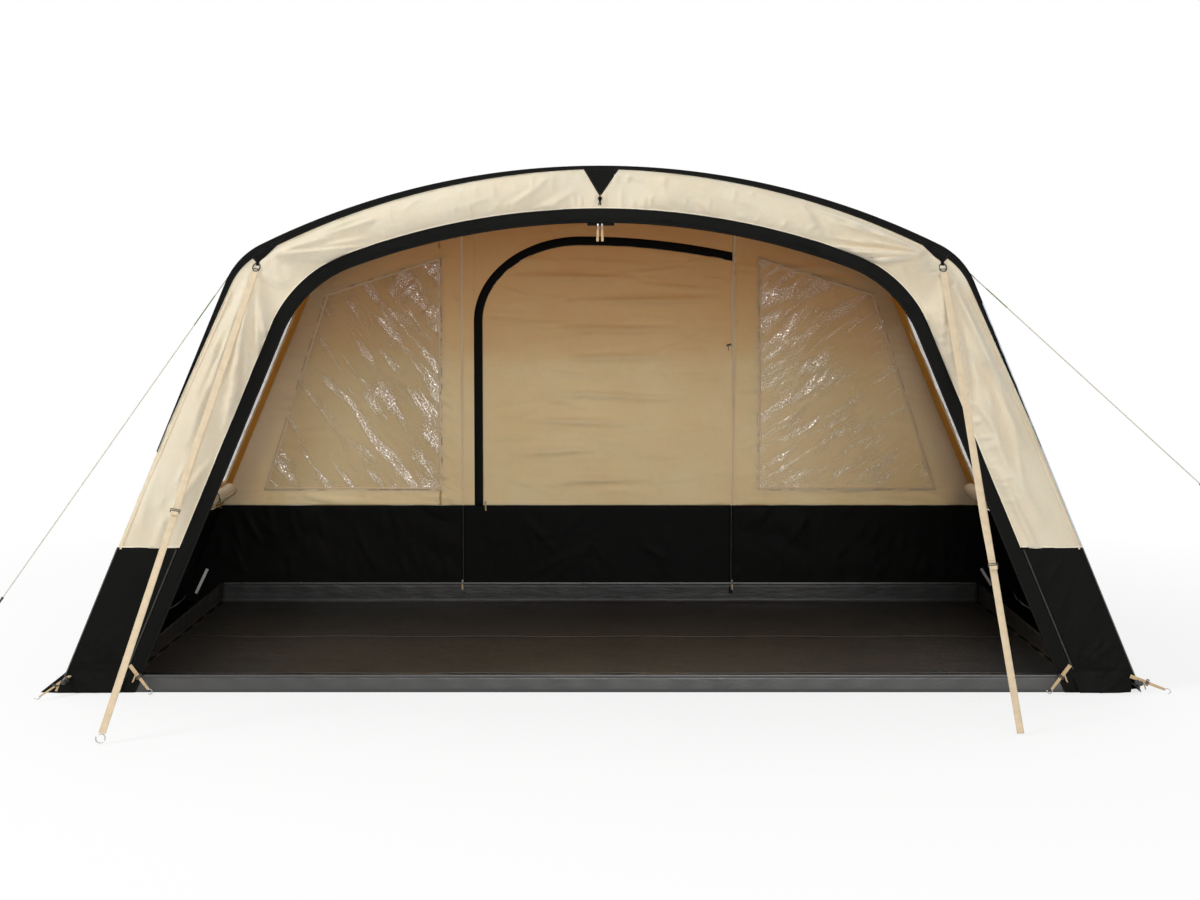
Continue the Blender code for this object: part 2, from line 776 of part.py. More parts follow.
# Guy ropes with their shoulder tabs and runners
def guy_rope(word, side, reach, height):
    shoulder, inward = outer.stations[-2]
    root = shoulder - inward * (gap + strap_thickness / 2)
    depth = -half_depth + guy_tab_width
    start = Vector((side * root.x, depth, root.y))
    far = Vector((side * (arch_half_foot + reach), depth, height))
    back = (start - far).normalized()
    level = Vector((0, 1, 0))
    turn = Matrix((level, back.cross(level), back)).transposed().to_4x4()
    frame = Matrix.Translation(start) @ turn
    line = empty("guy_line_" + word, frame)
    spot = Matrix.Translation((0, 0, -guy_tab_length / 2))
    box("guy_tab_" + word, (guy_tab_width, strap_thickness, guy_tab_length), black_cloth, spot, line)
    top = guy_tab_length + gap
    run = (start - far).length - top
    route = [(0, 0, -top - run * n / (rope_points - 1)) for n in range(rope_points)]
    tube("guy_rope_" + word, route, rope_diameter / 2, rope_resolution, rope_fibre, None, line)
    hole, body = rope_diameter / 2 + 2 * gap, rope_diameter / 2 + 2 * gap + runner_wall
    loops = [oval(2 * body, 2 * body), oval(2 * hole, 2 * hole)]
    along = Matrix.Translation((0, 0, -top - run + runner_from_end + runner_length / 2))
    plate("guy_runner_" + word, loops, runner_length, dark_plastic, along, line)


# Peg straps, each from the front face down to the ground
def peg_strap(name, x, height, reach):
    run = Vector((reach[0], -reach[1], peg_strap_width / 2 - height))
    back = -run.normalized()
    level = (across - across.dot(back) * back).normalized()
    third = back.cross(level)
    turn = Matrix((level, third, back)).transposed().to_4x4()
    lift = (peg_strap_width * abs(level.y) + peg_strap_thickness * abs(third.y)) / 2 + gap
    start = Vector((x, -half_depth - lift, height))
    centre = Matrix.Translation(start + run / 2) @ turn
    box(name, (peg_strap_width, peg_strap_thickness, run.length), webbing, centre)


def peg_straps():
    for word, side, reach in (("left", -1, left_corner_reach), ("right", 1, right_corner_reach)):
        corner = outer.leg(corner_strap_height)[0]
        inner = corner.x - peg_strap_width
        peg_strap("corner_strap_" + word, side * inner, corner.y, (side * reach[0], reach[1]))
        inwards = (-side * sheet_strap_reach[0], sheet_strap_reach[1])
        place_across = side * (floor_half_width - sheet_strap_margin)
        peg_strap("sheet_strap_" + word, place_across, sheet_strap_height, inwards)


groundsheet()
beam("front_beam", front_beam_depth)
beam("rear_beam", rear_beam_depth)
valve("front_valve", front_beam_depth)
valve("rear_valve", rear_beam_depth)
roof()
for wall_word, wall_side in (("left", -1), ("right", 1)):
    side_wall(wall_word, wall_side)
    front_mudwall(wall_word, wall_side)
front_face()
front_band()
edge_strip()
patches()
rear_panels()
door_surround()
rear_door()
mudwall_flap()
front_pulls()
storm_strap("left", -1, left_strap_inset, left_strap_reach, left_buckle_share)
storm_strap("right", 1, right_strap_inset, right_strap_reach, right_buckle_share)
guy_rope("left", -1, left_rope_reach, left_rope_height)
guy_rope("right", 1, right_rope_reach, right_rope_height)
peg_straps()
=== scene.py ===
"""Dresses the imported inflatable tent: cloth, windows, zips, straps and ropes in place of the plain solids.

All lengths are in metres. +X is to the right seen from the open front, +Y runs to the rear wall, +Z is up.
"""

import math

import bmesh
import bpy
import numpy as np
from bpy.props import FloatProperty, FloatVectorProperty, IntProperty, PointerProperty
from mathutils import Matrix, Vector


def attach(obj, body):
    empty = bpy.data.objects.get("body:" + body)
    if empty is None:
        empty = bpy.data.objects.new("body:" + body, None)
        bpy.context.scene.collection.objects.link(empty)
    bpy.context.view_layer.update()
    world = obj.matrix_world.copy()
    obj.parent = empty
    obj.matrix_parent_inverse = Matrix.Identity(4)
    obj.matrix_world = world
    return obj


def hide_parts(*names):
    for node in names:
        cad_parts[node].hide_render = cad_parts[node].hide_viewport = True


bl_info = {
    "name": "Inflatable tent dressing",
    "version": (1, 0, 0),
    "blender": (4, 5, 0),
    "location": "View3D > Sidebar > Tent",
    "description": "Makes the cloth, windows, zips, straps and ropes of a one-room air tent",
    "category": "Add Mesh",
}

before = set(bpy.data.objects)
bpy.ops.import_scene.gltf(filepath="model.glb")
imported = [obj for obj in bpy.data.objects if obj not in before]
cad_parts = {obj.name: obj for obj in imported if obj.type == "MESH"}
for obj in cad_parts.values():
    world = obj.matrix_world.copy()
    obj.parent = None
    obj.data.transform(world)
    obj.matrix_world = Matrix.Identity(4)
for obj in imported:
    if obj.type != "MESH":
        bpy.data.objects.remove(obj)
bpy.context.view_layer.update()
tent_sides = (("left", -1), ("right", 1))
sideways, inwards, upwards, outwards = (1, 0, 0), (0, 1, 0), (0, 0, 1), (0, -1, 0)


# Sizes and colours that a user would change
def length(name, description, default):
    return FloatProperty(name=name, description=description, default=default, unit="LENGTH")


def colour(name, description, red, green, blue):
    """A colour property whose default is given in 0 to 255, as a screen shows it."""
    return FloatVectorProperty(
        name=name, description=description, default=srgb(red, green, blue), min=0, max=1, subtype="COLOR"
    )


def srgb(*values):
    shares = [value / 255 for value in values]
    return tuple(s / 12.92 if s <= 0.04045 else ((s + 0.055) / 1.055) ** 2.4 for s in shares)


class TentShape(bpy.types.PropertyGroup):
    arch_top: length("Arch top", "Height of the roof's front edge", 2.16)
    arch_half_foot: length("Arch half width", "Half the tent's width on the ground", 2.24)
    roof_radius: length("Roof radius", "Radius of the roof's arc", 3.15)
    shoulder_radius: length("Shoulder radius", "Radius between roof and leg", 0.30)
    lean: FloatProperty(
        name="Leg lean", description="How far the legs lean in", default=math.radians(23), unit="ROTATION"
    )
    room_depth: length("Room depth", "From the front face to the rear wall", 2.40)
    sleeve_depth: length("Sleeve depth", "How far the rear beam's sleeve stands behind the wall", 0.155)
    opening_top: length("Opening top", "Height of the opening's outer edge", 1.99)
    opening_half_foot: length("Opening half width", "Half the opening's width on the ground", 1.985)
    opening_radius: length("Opening radius", "Radius of the opening's top arc", 2.98)
    opening_shoulder: length("Opening shoulder", "Radius between the opening's top and its legs", 0.55)
    band_width: length("Band width", "Width of the black band round the opening", 0.06)
    front_mudwall: length("Front mudwall", "Height of the black cloth at the front", 0.604)
    rear_mudwall: length("Rear mudwall", "Height of the black cloth at the rear", 0.524)
    beam_diameter: length("Beam diameter", "Diameter of each air beam", 0.145)
    floor_half_width: length("Floor half width", "Half the groundsheet's width", 2.03)
    rear_rim: length("Rear rim", "Height of the groundsheet's rear rim", 0.10)
    front_rim: length("Front rim", "Height of the groundsheet's front rim", 0.065)


class TentCloth(bpy.types.PropertyGroup):
    wall: length("Cloth thickness", "Thickness of the drawn cloth", 0.0016)
    fine_step: length("Fine step", "Mesh step of puckered cloth", 0.011)
    puff: length("Face puff", "How far the air beam pushes the front face out", 0.03)
    seam_width: length("Seam width", "Width of a folded seam", 0.014)
    stitch_pitch: length("Stitch pitch", "Distance from stitch to stitch", 0.007)
    tooth_pitch: length("Tooth pitch", "Distance from zip tooth to zip tooth", 0.004)
    seed: IntProperty(name="Seed", description="Seed of the random creases", default=7)


class TentColours(bpy.types.PropertyGroup):
    tan: colour("Outer cloth", "Sand-coloured cloth seen from outside", 232, 216, 193)
    tan_shade: colour("Outer cloth, darker", "Darker places of the outer cloth", 221, 203, 177)
    # The inner colours are the same cloth painted lighter and warmer than outside, for the light coming
    # through it: painted light.
    inner: colour("Inner cloth", "The same cloth seen from inside", 254, 228, 192)
    inner_shade: colour("Inner cloth, darker", "Darker places of the inner cloth", 242, 213, 174)
    # The ceiling is the same tan cloth seen from inside, painted dark amber for the shade under the roof and
    # the light through it: painted shade.
    ceiling: colour("Ceiling", "The roof seen from inside", 178, 112, 30)
    # The amber is the same cloth painted amber where light shines through the side walls: painted light.
    amber: colour("Amber cloth", "Side walls that the light shines through", 236, 160, 66)
    black: colour("Black cloth", "Mudwalls, bands and patches", 11, 11, 10)
    floor: colour("Floor", "Groundsheet", 54, 53, 51)
    floor_shade: colour("Floor, darker", "Darker places of the groundsheet", 40, 41, 41)
    webbing: colour("Webbing", "Beige zip tapes and peg straps", 206, 178, 136)
    strap: colour("Storm straps", "Beige straps from the shoulders to the ground", 220, 200, 168)
    rope: colour("Rope", "Guy ropes", 218, 210, 194)


def shape():
    return bpy.context.scene.tent_shape


def cloth():
    return bpy.context.scene.tent_cloth


def front_plane():
    return -shape().room_depth / 2


def rear_plane():
    return shape().room_depth / 2


def tunnel_end():
    return rear_plane() + shape().sleeve_depth


# Arches
class Arch:
    """A roof arc, a shoulder fillet and a leaning leg, mirrored to both sides.

    Places along it run from 0 at the top to 1 at the shoulder's start, 2 at its end and 3 at the foot.
    """

    def __init__(self, top, half_foot, radius, shoulder):
        lean = shape().lean
        inward = np.array((-math.cos(lean), -math.sin(lean)))
        uphill = np.array((-math.sin(lean), math.cos(lean)))
        self.half_foot, self.radius, self.shoulder, self.lean = half_foot, radius, shoulder, lean
        self.centre = np.array((0, top - radius))
        start = np.array((half_foot, 0)) + shoulder * inward - self.centre
        along = start @ uphill
        climb = -along + math.sqrt(along**2 - start @ start + (radius - shoulder) ** 2)
        self.fillet = self.centre + start + climb * uphill
        self.roof_angle = math.atan2(*(self.fillet - self.centre)[::-1])
        self.leg_top = self.fillet[1] + shoulder * math.sin(lean)

    def at(self, places, foot=0.0, depth=0.0):
        """Rows of X, Z and the outward direction's X and Z, at a depth inside the arch."""
        side = np.where(places < 0, -1.0, 1.0)
        place = np.abs(places)
        on_roof = place <= 1
        roof = math.pi / 2 + (self.roof_angle - math.pi / 2) * place
        bend = self.roof_angle + (self.lean - self.roof_angle) * np.clip(place - 1, 0, 1)
        angle = np.where(on_roof, roof, bend)
        out_x, out_z = np.cos(angle), np.sin(angle)
        radius = np.where(on_roof, self.radius, self.shoulder)
        down = np.clip(place - 2, 0, None) * (self.leg_top - foot)
        x = np.where(on_roof, self.centre[0], self.fillet[0]) + (radius - depth) * out_x
        z = np.where(on_roof, self.centre[1], self.fillet[1]) + (radius - depth) * out_z
        return np.stack((side * (x + down * math.tan(self.lean)), z - down, side * out_x, out_z), axis=-1)

    def spot(self, place, foot=0.0, depth=0.0):
        return self.at(np.array([place]), foot, depth)[0, :2]

    def line(self, places, y, foot=0.0, depth=0.0):
        """Points and outward directions along the arch, at one place along the tent."""
        x, z, out_x, out_z = self.at(places, foot, depth).T
        return rows_of(x, y, z), rows_of(out_x, 0, out_z)

    def places(self, step, foot=0.0, last=3):
        """Places along both sides, about a step apart, down to the foot or to an earlier section's end."""
        lengths = [
            self.radius * (math.pi / 2 - self.roof_angle),
            self.shoulder * (self.roof_angle - self.lean),
            (self.leg_top - foot) / math.cos(self.lean),
        ]
        half = [np.linspace(n, n + 1, max(2, round(lengths[n] / step)), endpoint=False) for n in range(last)]
        half = np.concatenate([*half, [last]])
        return np.concatenate([-half[:0:-1], half])

    def leg(self, height, depth=0.0):
        """How far the leg is from the middle at a height."""
        return self.half_foot - height * math.tan(self.lean) - depth / math.cos(self.lean)

    def roof(self, x, depth=0.0):
        return self.centre[1] + np.sqrt((self.radius - depth) ** 2 - np.square(x))


def outer_arch():
    s = shape()
    return Arch(s.arch_top, s.arch_half_foot, s.roof_radius, s.shoulder_radius)


def opening_arch():
    s = shape()
    return Arch(s.opening_top, s.opening_half_foot, s.opening_radius, s.opening_shoulder)


# Rows of points
def rows_of(x, y, z):
    """Rows of points from three columns, any of which may be one number."""
    return np.column_stack(np.broadcast_arrays(x, y, z))


def stretch(start, step, count, low=0):
    """Points from a start, or from as far before it, to one step away."""
    return start + np.linspace(low, 1, count)[:, None] * np.array(step)


def lengths_along(points):
    return np.concatenate([[0], np.cumsum(np.linalg.norm(np.diff(points, axis=0), axis=1))])


def oval_line(centre, wide, tall, half_width, half_height, count=40):
    turns = np.linspace(0, 2 * math.pi, count)[:, None]
    return centre + wide * (half_width * np.cos(turns)) + tall * (half_height * np.sin(turns))


def step_up(values, start, end):
    """A smooth climb from 0 at the start to 1 at the end."""
    share = np.clip((values - start) / (end - start), 0, 1)
    return share * share * (3 - 2 * share)


# Flat cuts of cloth: points in the cut's own two directions, and faces between them
def grid_faces(rows, columns):
    corner = np.arange((rows - 1) * columns).reshape(rows - 1, columns)[:, :-1].ravel()
    return np.stack((corner, corner + 1, corner + columns + 1, corner + columns), axis=1).tolist()


def ruled(low, high, rows):
    """Points between two lines of equal count, with the faces between them."""
    shares = np.linspace(0, 1, rows)[:, None, None]
    points = low[None] * (1 - shares) + high[None] * shares
    return points.reshape(-1, points.shape[-1]), grid_faces(rows, len(low))


def rectangle(left, right, low, high):
    return [(left, low), (right, low), (right, high), (left, high)]


def cut(outline, holes, step):
    """A fine grid trimmed to a convex outline, with convex holes."""
    outline = np.array(outline)
    low, high = outline.min(axis=0), outline.max(axis=0)
    count = np.ceil((high - low) / step).astype(int)
    bm = bmesh.new()
    bmesh.ops.create_grid(bm, x_segments=int(count[0]), y_segments=int(count[1]), size=0.5)
    for vert in bm.verts:
        vert.co = (*(low + (np.array(vert.co.xy) + 0.5) * (high - low)), 0)
    for loop, trim in [(outline, True)] + [(np.array(hole), False) for hole in holes]:
        for a, b in zip(loop, np.roll(loop, -1, axis=0)):
            away = np.array((b[1] - a[1], a[0] - b[0]))
            if away @ (a - loop.mean(axis=0)) < 0:
                away = -away
            every = bm.verts[:] + bm.edges[:] + bm.faces[:]
            bmesh.ops.bisect_plane(bm, geom=every, plane_co=(*a, 0), plane_no=(*away, 0), clear_outer=trim)
        if not trim:
            inside = [face for face in bm.faces if within(np.array(face.calc_center_median().xy), loop)]
            bmesh.ops.delete(bm, geom=inside, context="FACES")
    points = np.array([vert.co.xy for vert in bm.verts])
    bm.verts.index_update()
    faces = [[vert.index for vert in face.verts] for face in bm.faces]
    bm.free()
    return points, faces


def within(point, loop):
    """Whether a point lies inside a convex loop."""
    run = np.roll(loop, -1, axis=0) - loop
    turn = run[:, 0] * (point[1] - loop[:, 1]) - run[:, 1] * (point[0] - loop[:, 0])
    return bool((turn > 0).all() or (turn < 0).all())


# Creases
def random():
    return np.random.default_rng(cloth().seed)


def ridges(points, lines):
    """Height of straight creases, each (x, z, end x, end z, width, height), over flat points."""
    total = np.zeros(len(points))
    for x, z, end_x, end_z, width, height in lines:
        run = np.array((end_x - x, end_z - z))
        size = math.hypot(*run)
        off = points - (x, z)
        along = off @ run / size**2
        across = np.abs(off @ np.array((-run[1], run[0]))) / size
        near = (across < 4 * width) & (along > 0) & (along < 1)
        fade = np.sin(math.pi * along[near]) ** 0.8
        total[near] += height * fade * np.exp(-((across[near] / width) ** 1.5))
    return total


def hatch(rng, count, box, angle, spread, reach, width, height):
    """Creases strewn over a box of (low x, high x, low z, high z), near one angle in degrees."""
    lines = []
    for _ in range(count):
        x, z = rng.uniform(box[0], box[1]), rng.uniform(box[2], box[3])
        turn = math.radians(angle + spread * rng.normal())
        half = reach * rng.uniform(0.5, 1.2) / 2
        dx, dz = half * math.cos(turn), half * math.sin(turn)
        lift = height * rng.uniform(0.35, 1.0) * rng.choice((-0.7, 1.0))
        lines.append((x - dx, z - dz, x + dx, z + dz, width * rng.uniform(0.6, 1.4), lift))
    return lines


def hatches(rng, *patches):
    """Creases of several patches, each with the values that hatch takes."""
    return [line for patch in patches for line in hatch(rng, *patch)]


def fan(rng, count, centre, near, far, angles, width, height):
    """Creases that spread from a centre, between two angles in degrees."""
    lines = []
    for n in range(count):
        turn = math.radians(angles[0] + (angles[1] - angles[0]) * (n + rng.uniform(0.1, 0.9)) / count)
        start, end = near * rng.uniform(0.6, 1.3), far * rng.uniform(0.7, 1.15)
        ray = np.array((math.cos(turn), math.sin(turn)))
        ends = *(centre + start * ray), *(centre + end * ray)
        lines.append((*ends, width * rng.uniform(0.6, 1.3), height * rng.uniform(0.4, 1.0)))
    return lines


def corner_fans(rng, corners, middle, near, far, spread, width, height):
    """Six creases from each corner, away from the middle of the cloth."""
    lines = []
    for x, z in corners:
        angle = math.degrees(math.atan2(z - middle[1], x - middle[0]))
        lines += fan(rng, 6, np.array((x, z)), near, far, (angle - spread, angle + spread), width, height)
    return lines


def swell(rng, points, wave, height, count=9):
    """Slow unevenness of hung cloth."""
    total = np.zeros(len(points))
    for _ in range(count):
        turn = rng.uniform(0, math.pi)
        pace = 2 * math.pi / (wave * rng.uniform(0.6, 1.8))
        ray = pace * np.array((math.cos(turn), math.sin(turn)))
        total += np.sin(points @ ray + rng.uniform(0, 2 * math.pi))
    return total * height / math.sqrt(count)


def arc_share(share, steepness=1.0):
    """0 at both ends of a share and 1 between them; more steepness makes both climbs shorter."""
    return np.clip(np.sin(math.pi * np.clip(share, 0, 1)) * steepness, 0, 1)


# Finishes of the tan and black cloth, and the thicknesses and mesh steps beside the cloth's own
both_faces = ("tan_outside", "tan_inside_painted_light_and_shade")
canvas_face = ("black_canvas",)
lining_wall, canvas_wall = 0.0012, 0.0014  # thicknesses, beside the cloth's own
middle_step, coarse_step = 0.014, 0.018  # mesh steps, beside the cloth's fine one


# Meshes
def mat(name):
    return bpy.data.materials[name]


def declare(obj, body, node=None):
    """Says which body a piece rides on and the CAD node that it replaces."""
    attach(obj, body)
    if node:
        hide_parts(node)
    return obj


def mesh_object(name, points, faces, flat, finishes):
    mesh = bpy.data.meshes.new(name)
    mesh.from_pydata(np.asarray(points).tolist(), [], faces)
    layer = mesh.uv_layers.new(name="cut")
    index = np.empty(len(mesh.loops), dtype=np.int32)
    mesh.loops.foreach_get("vertex_index", index)
    layer.data.foreach_set("uv", np.asarray(flat, dtype=np.float32)[index].ravel())
    for finish in finishes:
        mesh.materials.append(mat(finish))
    mesh.shade_smooth()
    obj = bpy.data.objects.new(name, mesh)
    bpy.context.scene.collection.objects.link(obj)
    return obj


def weld(mesh, distance, outward=False):
    bm = bmesh.new()
    bm.from_mesh(mesh)
    bmesh.ops.remove_doubles(bm, verts=bm.verts[:], dist=distance)
    if outward:
        bmesh.ops.recalc_face_normals(bm, faces=bm.faces[:])
    bm.to_mesh(mesh)
    bm.free()


def facing(points, faces, outward):
    """The faces turned so that most look along a direction."""
    a, b, c = np.asarray(points)[np.array([face[:3] for face in faces]).T]
    against = (np.cross(b - a, c - a) @ np.asarray(outward)).sum() < 0
    return [face[::-1] for face in faces] if against else faces


sewn_share = 0.32  # a cut that fills less of its rectangle is a frame round a window, sewn from strips


def sheet_of(
    name, node, points, faces, flat, outward, finishes, wall=None, size=None, body="tent"
):
    """A sheet of cloth whose outer side is the points; the second finish is its inner side."""
    faces = facing(points, faces, outward)
    obj = mesh_object(name, points, faces, flat, finishes)
    thick = obj.modifiers.new("wall", "SOLIDIFY")
    thick.thickness = wall or cloth().wall
    thick.offset = -1
    thick.material_offset = int(finishes == both_faces or "ceiling_painted_shade" in finishes)
    declare(obj, body, node)
    if size:
        return obj
    size = smallest_rectangle(flat)
    area = sum(flat_area(flat, face) for face in faces)
    if area < sewn_share * size[0] * size[1]:
        size = (max(size), area / max(size))
    return obj


def smallest_rectangle(flat):
    """Sides of the smallest rectangle that the cut fits, among a few ways of turning it."""
    sizes = []
    for turn in np.radians(np.arange(0, 90, 5)):
        ray = np.array((math.cos(turn), math.sin(turn)))
        sizes.append((float(np.ptp(flat @ ray)), float(np.ptp(flat @ np.array((-ray[1], ray[0]))))))
    return min(sizes, key=math.prod)


def flat_area(flat, face):
    x, y = flat[face, 0], flat[face, 1]
    return abs(float(x @ np.roll(y, -1) - y @ np.roll(x, -1))) / 2


def front_sheet(name, node, drawn, faces, relief, finishes, wall=None, flat=None, size=None):
    """A sheet of the front; the relief stands out of its plane."""
    points = rows_of(drawn[:, 0], front_plane() - relief, drawn[:, 1])
    flat = drawn if flat is None else flat
    return sheet_of(name, node, points, faces, flat, outwards, finishes, wall, size=size)


def rear_sheet(name, node, flat, faces, relief, finishes, depth=0.0, wall=None, body="tent"):
    """A sheet of the rear wall; the relief stands into the room."""
    points = rows_of(flat[:, 0], rear_plane() + depth - relief, flat[:, 1])
    return sheet_of(name, node, points, faces, flat, inwards, finishes, wall, body=body)


class Strips:
    """Ribbons, tubes and plates gathered into one mesh."""

    def __init__(self):
        self.points, self.faces, self.flat = [], [], []

    def skin(self, rows, flats, ends=-1, turn=1):
        """A closed bar from rows of points round a line; turn and ends reverse its faces."""
        start, count = len(self.points), len(rows[0])
        first = [start + n * count for n in range(len(rows) - 1)]
        self.faces += [[start + n for n in face[::turn]] for face in grid_faces(len(rows), count)]
        self.faces += [first[::ends], [n + count - 1 for n in first][::-ends]]
        self.points.extend(np.concatenate(rows).tolist())
        self.flat.extend(np.concatenate(flats).tolist())

    def ribbon(self, centre, across, out, width, rise):
        """A ribbon with rounded edges along a line; width may vary along it."""
        centre, across, out = (np.asarray(value, dtype=float) for value in (centre, across, out))
        across = np.broadcast_to(across, centre.shape)
        out = np.broadcast_to(out, centre.shape)
        width = np.broadcast_to(width, len(centre))[:, None]
        profile = [(-0.5, 0.0), (-0.47, 0.75), (-0.4, 1.0), (0.0, 1.0), (0.4, 1.0), (0.47, 0.75), (0.5, 0.0)]
        profile += [(0.3, -0.15), (-0.3, -0.15), (-0.5, 0.0)]
        rows = [centre + across * width * a + out * rise * b for a, b in profile]
        along = lengths_along(centre)
        flats = [np.stack((along, width[:, 0] * a), axis=1) for a, _ in profile]
        middle = len(centre) // 2
        run = rows[2][min(middle + 1, len(centre) - 1)] - rows[2][max(middle - 1, 0)]
        backwards = np.cross(run, rows[3][middle] - rows[2][middle]) @ out[middle] < 0
        self.skin(rows, flats, 1, -1 if backwards else 1)

    def tube(self, line, radius, sides=8, lobes=0, twist=0.0, depth=0.0):
        """A round bar along a line, optionally with twisted strands."""
        line = np.asarray(line, dtype=float)
        run = np.gradient(line, axis=0)
        run /= np.linalg.norm(run, axis=1)[:, None]
        side = np.cross(run, (0.12, 0.31, 0.94))
        side /= np.linalg.norm(side, axis=1)[:, None]
        third = np.cross(run, side)
        along = lengths_along(line)
        radius = np.broadcast_to(radius, len(line))
        rows, flats = [], []
        for n in range(sides + 1):
            angle = 2 * math.pi * n / sides
            bulge = radius * (1 + depth * np.cos(lobes * (angle + twist * along)))
            rows.append(line + bulge[:, None] * (side * math.cos(angle) + third * math.sin(angle)))
            flats.append(np.stack((along, radius * angle), axis=1))
        self.skin(rows, flats)

    def ladder(self, centre, level, back, half, rise, count, rail_wire):
        """A ladder buckle: three rungs across and a rail at each side."""
        for shift in (-rise, 0.0, rise):
            rung = np.linspace(centre - level * half, centre + level * half, count)
            self.tube(rung + back * shift, 0.0016)
        for side in (-1, 1):
            reach = back * (rise + 0.001)
            self.tube(np.linspace(centre - reach, centre + reach, 6) + level * half * side, rail_wire)

    def object(self, name, finish, node=None, body="tent", more=()):
        """The gathered mesh as one closed piece on a body."""
        obj = mesh_object(name, self.points, self.faces, self.flat, (finish, *more))
        weld(obj.data, 0.00002, True)
        obj.data.set_sharp_from_angle(angle=math.radians(50))
        return declare(obj, body, node)


# Shader node groups
class Tree:
    """A short way to add and join nodes."""

    def __init__(self, tree):
        self.tree = tree
        self.link = tree.links.new

    def add(self, kind, settings=None, values=None):
        node = self.tree.nodes.new(kind)
        for key, value in (settings or {}).items():
            setattr(node, key, value)
        for key, value in (values or {}).items():
            if isinstance(value, bpy.types.NodeSocket):
                self.link(value, node.inputs[key])
            else:
                node.inputs[key].default_value = value
        return node

    def math(self, operation, a, b=0.0, clamp=False):
        settings = {"operation": operation, "use_clamp": clamp}
        return self.add("ShaderNodeMath", settings, {0: a, 1: b}).outputs[0]

    def times(self, a, b, clamp=False):
        return self.math("MULTIPLY", a, b, clamp)

    def scaled(self, vector, factors):
        return self.add("ShaderNodeVectorMath", {"operation": "MULTIPLY"}, {0: vector, 1: factors}).outputs[0]

    def parts(self, vector):
        return self.add("ShaderNodeSeparateXYZ", None, {0: vector}).outputs

    def noise(self, vector, scale, detail=3.0, rough=0.55):
        values = {"Vector": vector, "Scale": scale, "Detail": detail, "Roughness": rough}
        return self.add("ShaderNodeTexNoise", None, values).outputs["Fac"]

    def ramp(self, value, low, high, start=0.0, end=1.0):
        values = {"Value": value, "From Min": low, "From Max": high, "To Min": start, "To Max": end}
        return self.add("ShaderNodeMapRange", None, values).outputs[0]

    def mix(self, share, a, b):
        a, b = (value if isinstance(value, bpy.types.NodeSocket) else (*value, 1.0) for value in (a, b))
        return self.add("ShaderNodeMix", {"data_type": "RGBA"}, {0: share, 6: a, 7: b}).outputs[2]

    def bump(self, height, strength, distance):
        values = {"Height": height, "Strength": strength, "Distance": distance}
        return self.add("ShaderNodeBump", None, values).outputs[0]

    def group(self, name, vector, values):
        settings = {"node_tree": bpy.data.node_groups[name]}
        return self.add("ShaderNodeGroup", settings, {"Vector": vector, **values}).outputs


def shader_group(name, inputs, outputs):
    """A new node group with float inputs (name, default), a Vector input and float outputs."""
    group = bpy.data.node_groups.new(name, "ShaderNodeTree")
    group.interface.new_socket("Vector", in_out="INPUT", socket_type="NodeSocketVector")
    for key, default in inputs:
        group.interface.new_socket(key, in_out="INPUT", socket_type="NodeSocketFloat").default_value = default
    for key in outputs:
        group.interface.new_socket(key, in_out="OUTPUT", socket_type="NodeSocketFloat")
    tree = Tree(group)
    return tree, tree.add("NodeGroupInput").outputs, tree.add("NodeGroupOutput").inputs


def weave_group():
    """Plain weave: two crossing sets of threads."""
    tree, given, result = shader_group("weave", [("Threads", 900.0)], ["Height"])
    parts = tree.parts(given["Vector"])
    pace = given["Threads"]
    waves = [tree.math("SINE", tree.times(tree.times(parts[n], pace), 2 * math.pi)) for n in (0, 1)]
    tree.link(tree.math("MULTIPLY_ADD", tree.times(*waves), 0.5), result["Height"])


def mottle_group():
    """Uneven dye and handling marks, slow and fine."""
    tree, given, result = shader_group("mottle", [("Scale", 3.0)], ["Mask", "Fine"])
    slow = tree.noise(given["Vector"], given["Scale"], 4.0, 0.6)
    fine = tree.noise(given["Vector"], tree.times(given["Scale"], 40.0), 2.0, 0.5)
    mixed = tree.math("ADD", tree.times(slow, 0.75), tree.times(fine, 0.25))
    tree.link(tree.ramp(mixed, 0.35, 0.65), result["Mask"])
    tree.link(fine, result["Fine"])


def crinkle_group():
    """Sharp slanting crinkles of stiff film as a height, and painted glints along them, strongest in streaks:
    a mask of white highlight lines.
    """
    sockets = [("Slant", 0.9), ("Scale", 14.0), ("Edge", 0.0)]
    tree, given, result = shader_group("crinkle", sockets, ["Height", "Painted Glint"])
    values = {"Vector": given["Vector"], "Angle": given["Slant"]}
    turned = tree.add("ShaderNodeVectorRotate", {"rotation_type": "Z_AXIS"}, values).outputs[0]
    long = tree.scaled(turned, (0.20, 1.0, 1.0))
    folds = tree.noise(long, given["Scale"], 5.0, 0.65)
    across = tree.parts(given["Vector"])[0]
    nearer = tree.ramp(tree.math("ABSOLUTE", across), 0.85, 1.55, 0.09, -0.03)
    band = tree.noise(long, tree.times(given["Scale"], 1.2), 2.0, 0.5)
    painted_glint_streaks = tree.ramp(tree.math("ADD", band, tree.times(nearer, given["Edge"])), 0.50, 0.66)
    lines = []
    for pace, width in ((7.0, 0.045), (13.0, 0.07)):
        wave = tree.noise(long, tree.times(given["Scale"], pace), 3.0, 0.6)
        off = tree.math("ABSOLUTE", tree.math("SUBTRACT", wave, 0.5))
        lines.append(tree.ramp(off, 0.3 * width, width, 1.0, 0.0))
    broken = tree.ramp(tree.noise(given["Vector"], tree.times(given["Scale"], 10.0), 2.0, 0.6), 0.46, 0.58)
    drawn = tree.times(tree.math("MAXIMUM", *lines), broken)
    tree.link(tree.math("ADD", folds, tree.times(drawn, 0.2)), result["Height"])
    tree.link(tree.times(painted_glint_streaks, drawn, True), result["Painted Glint"])


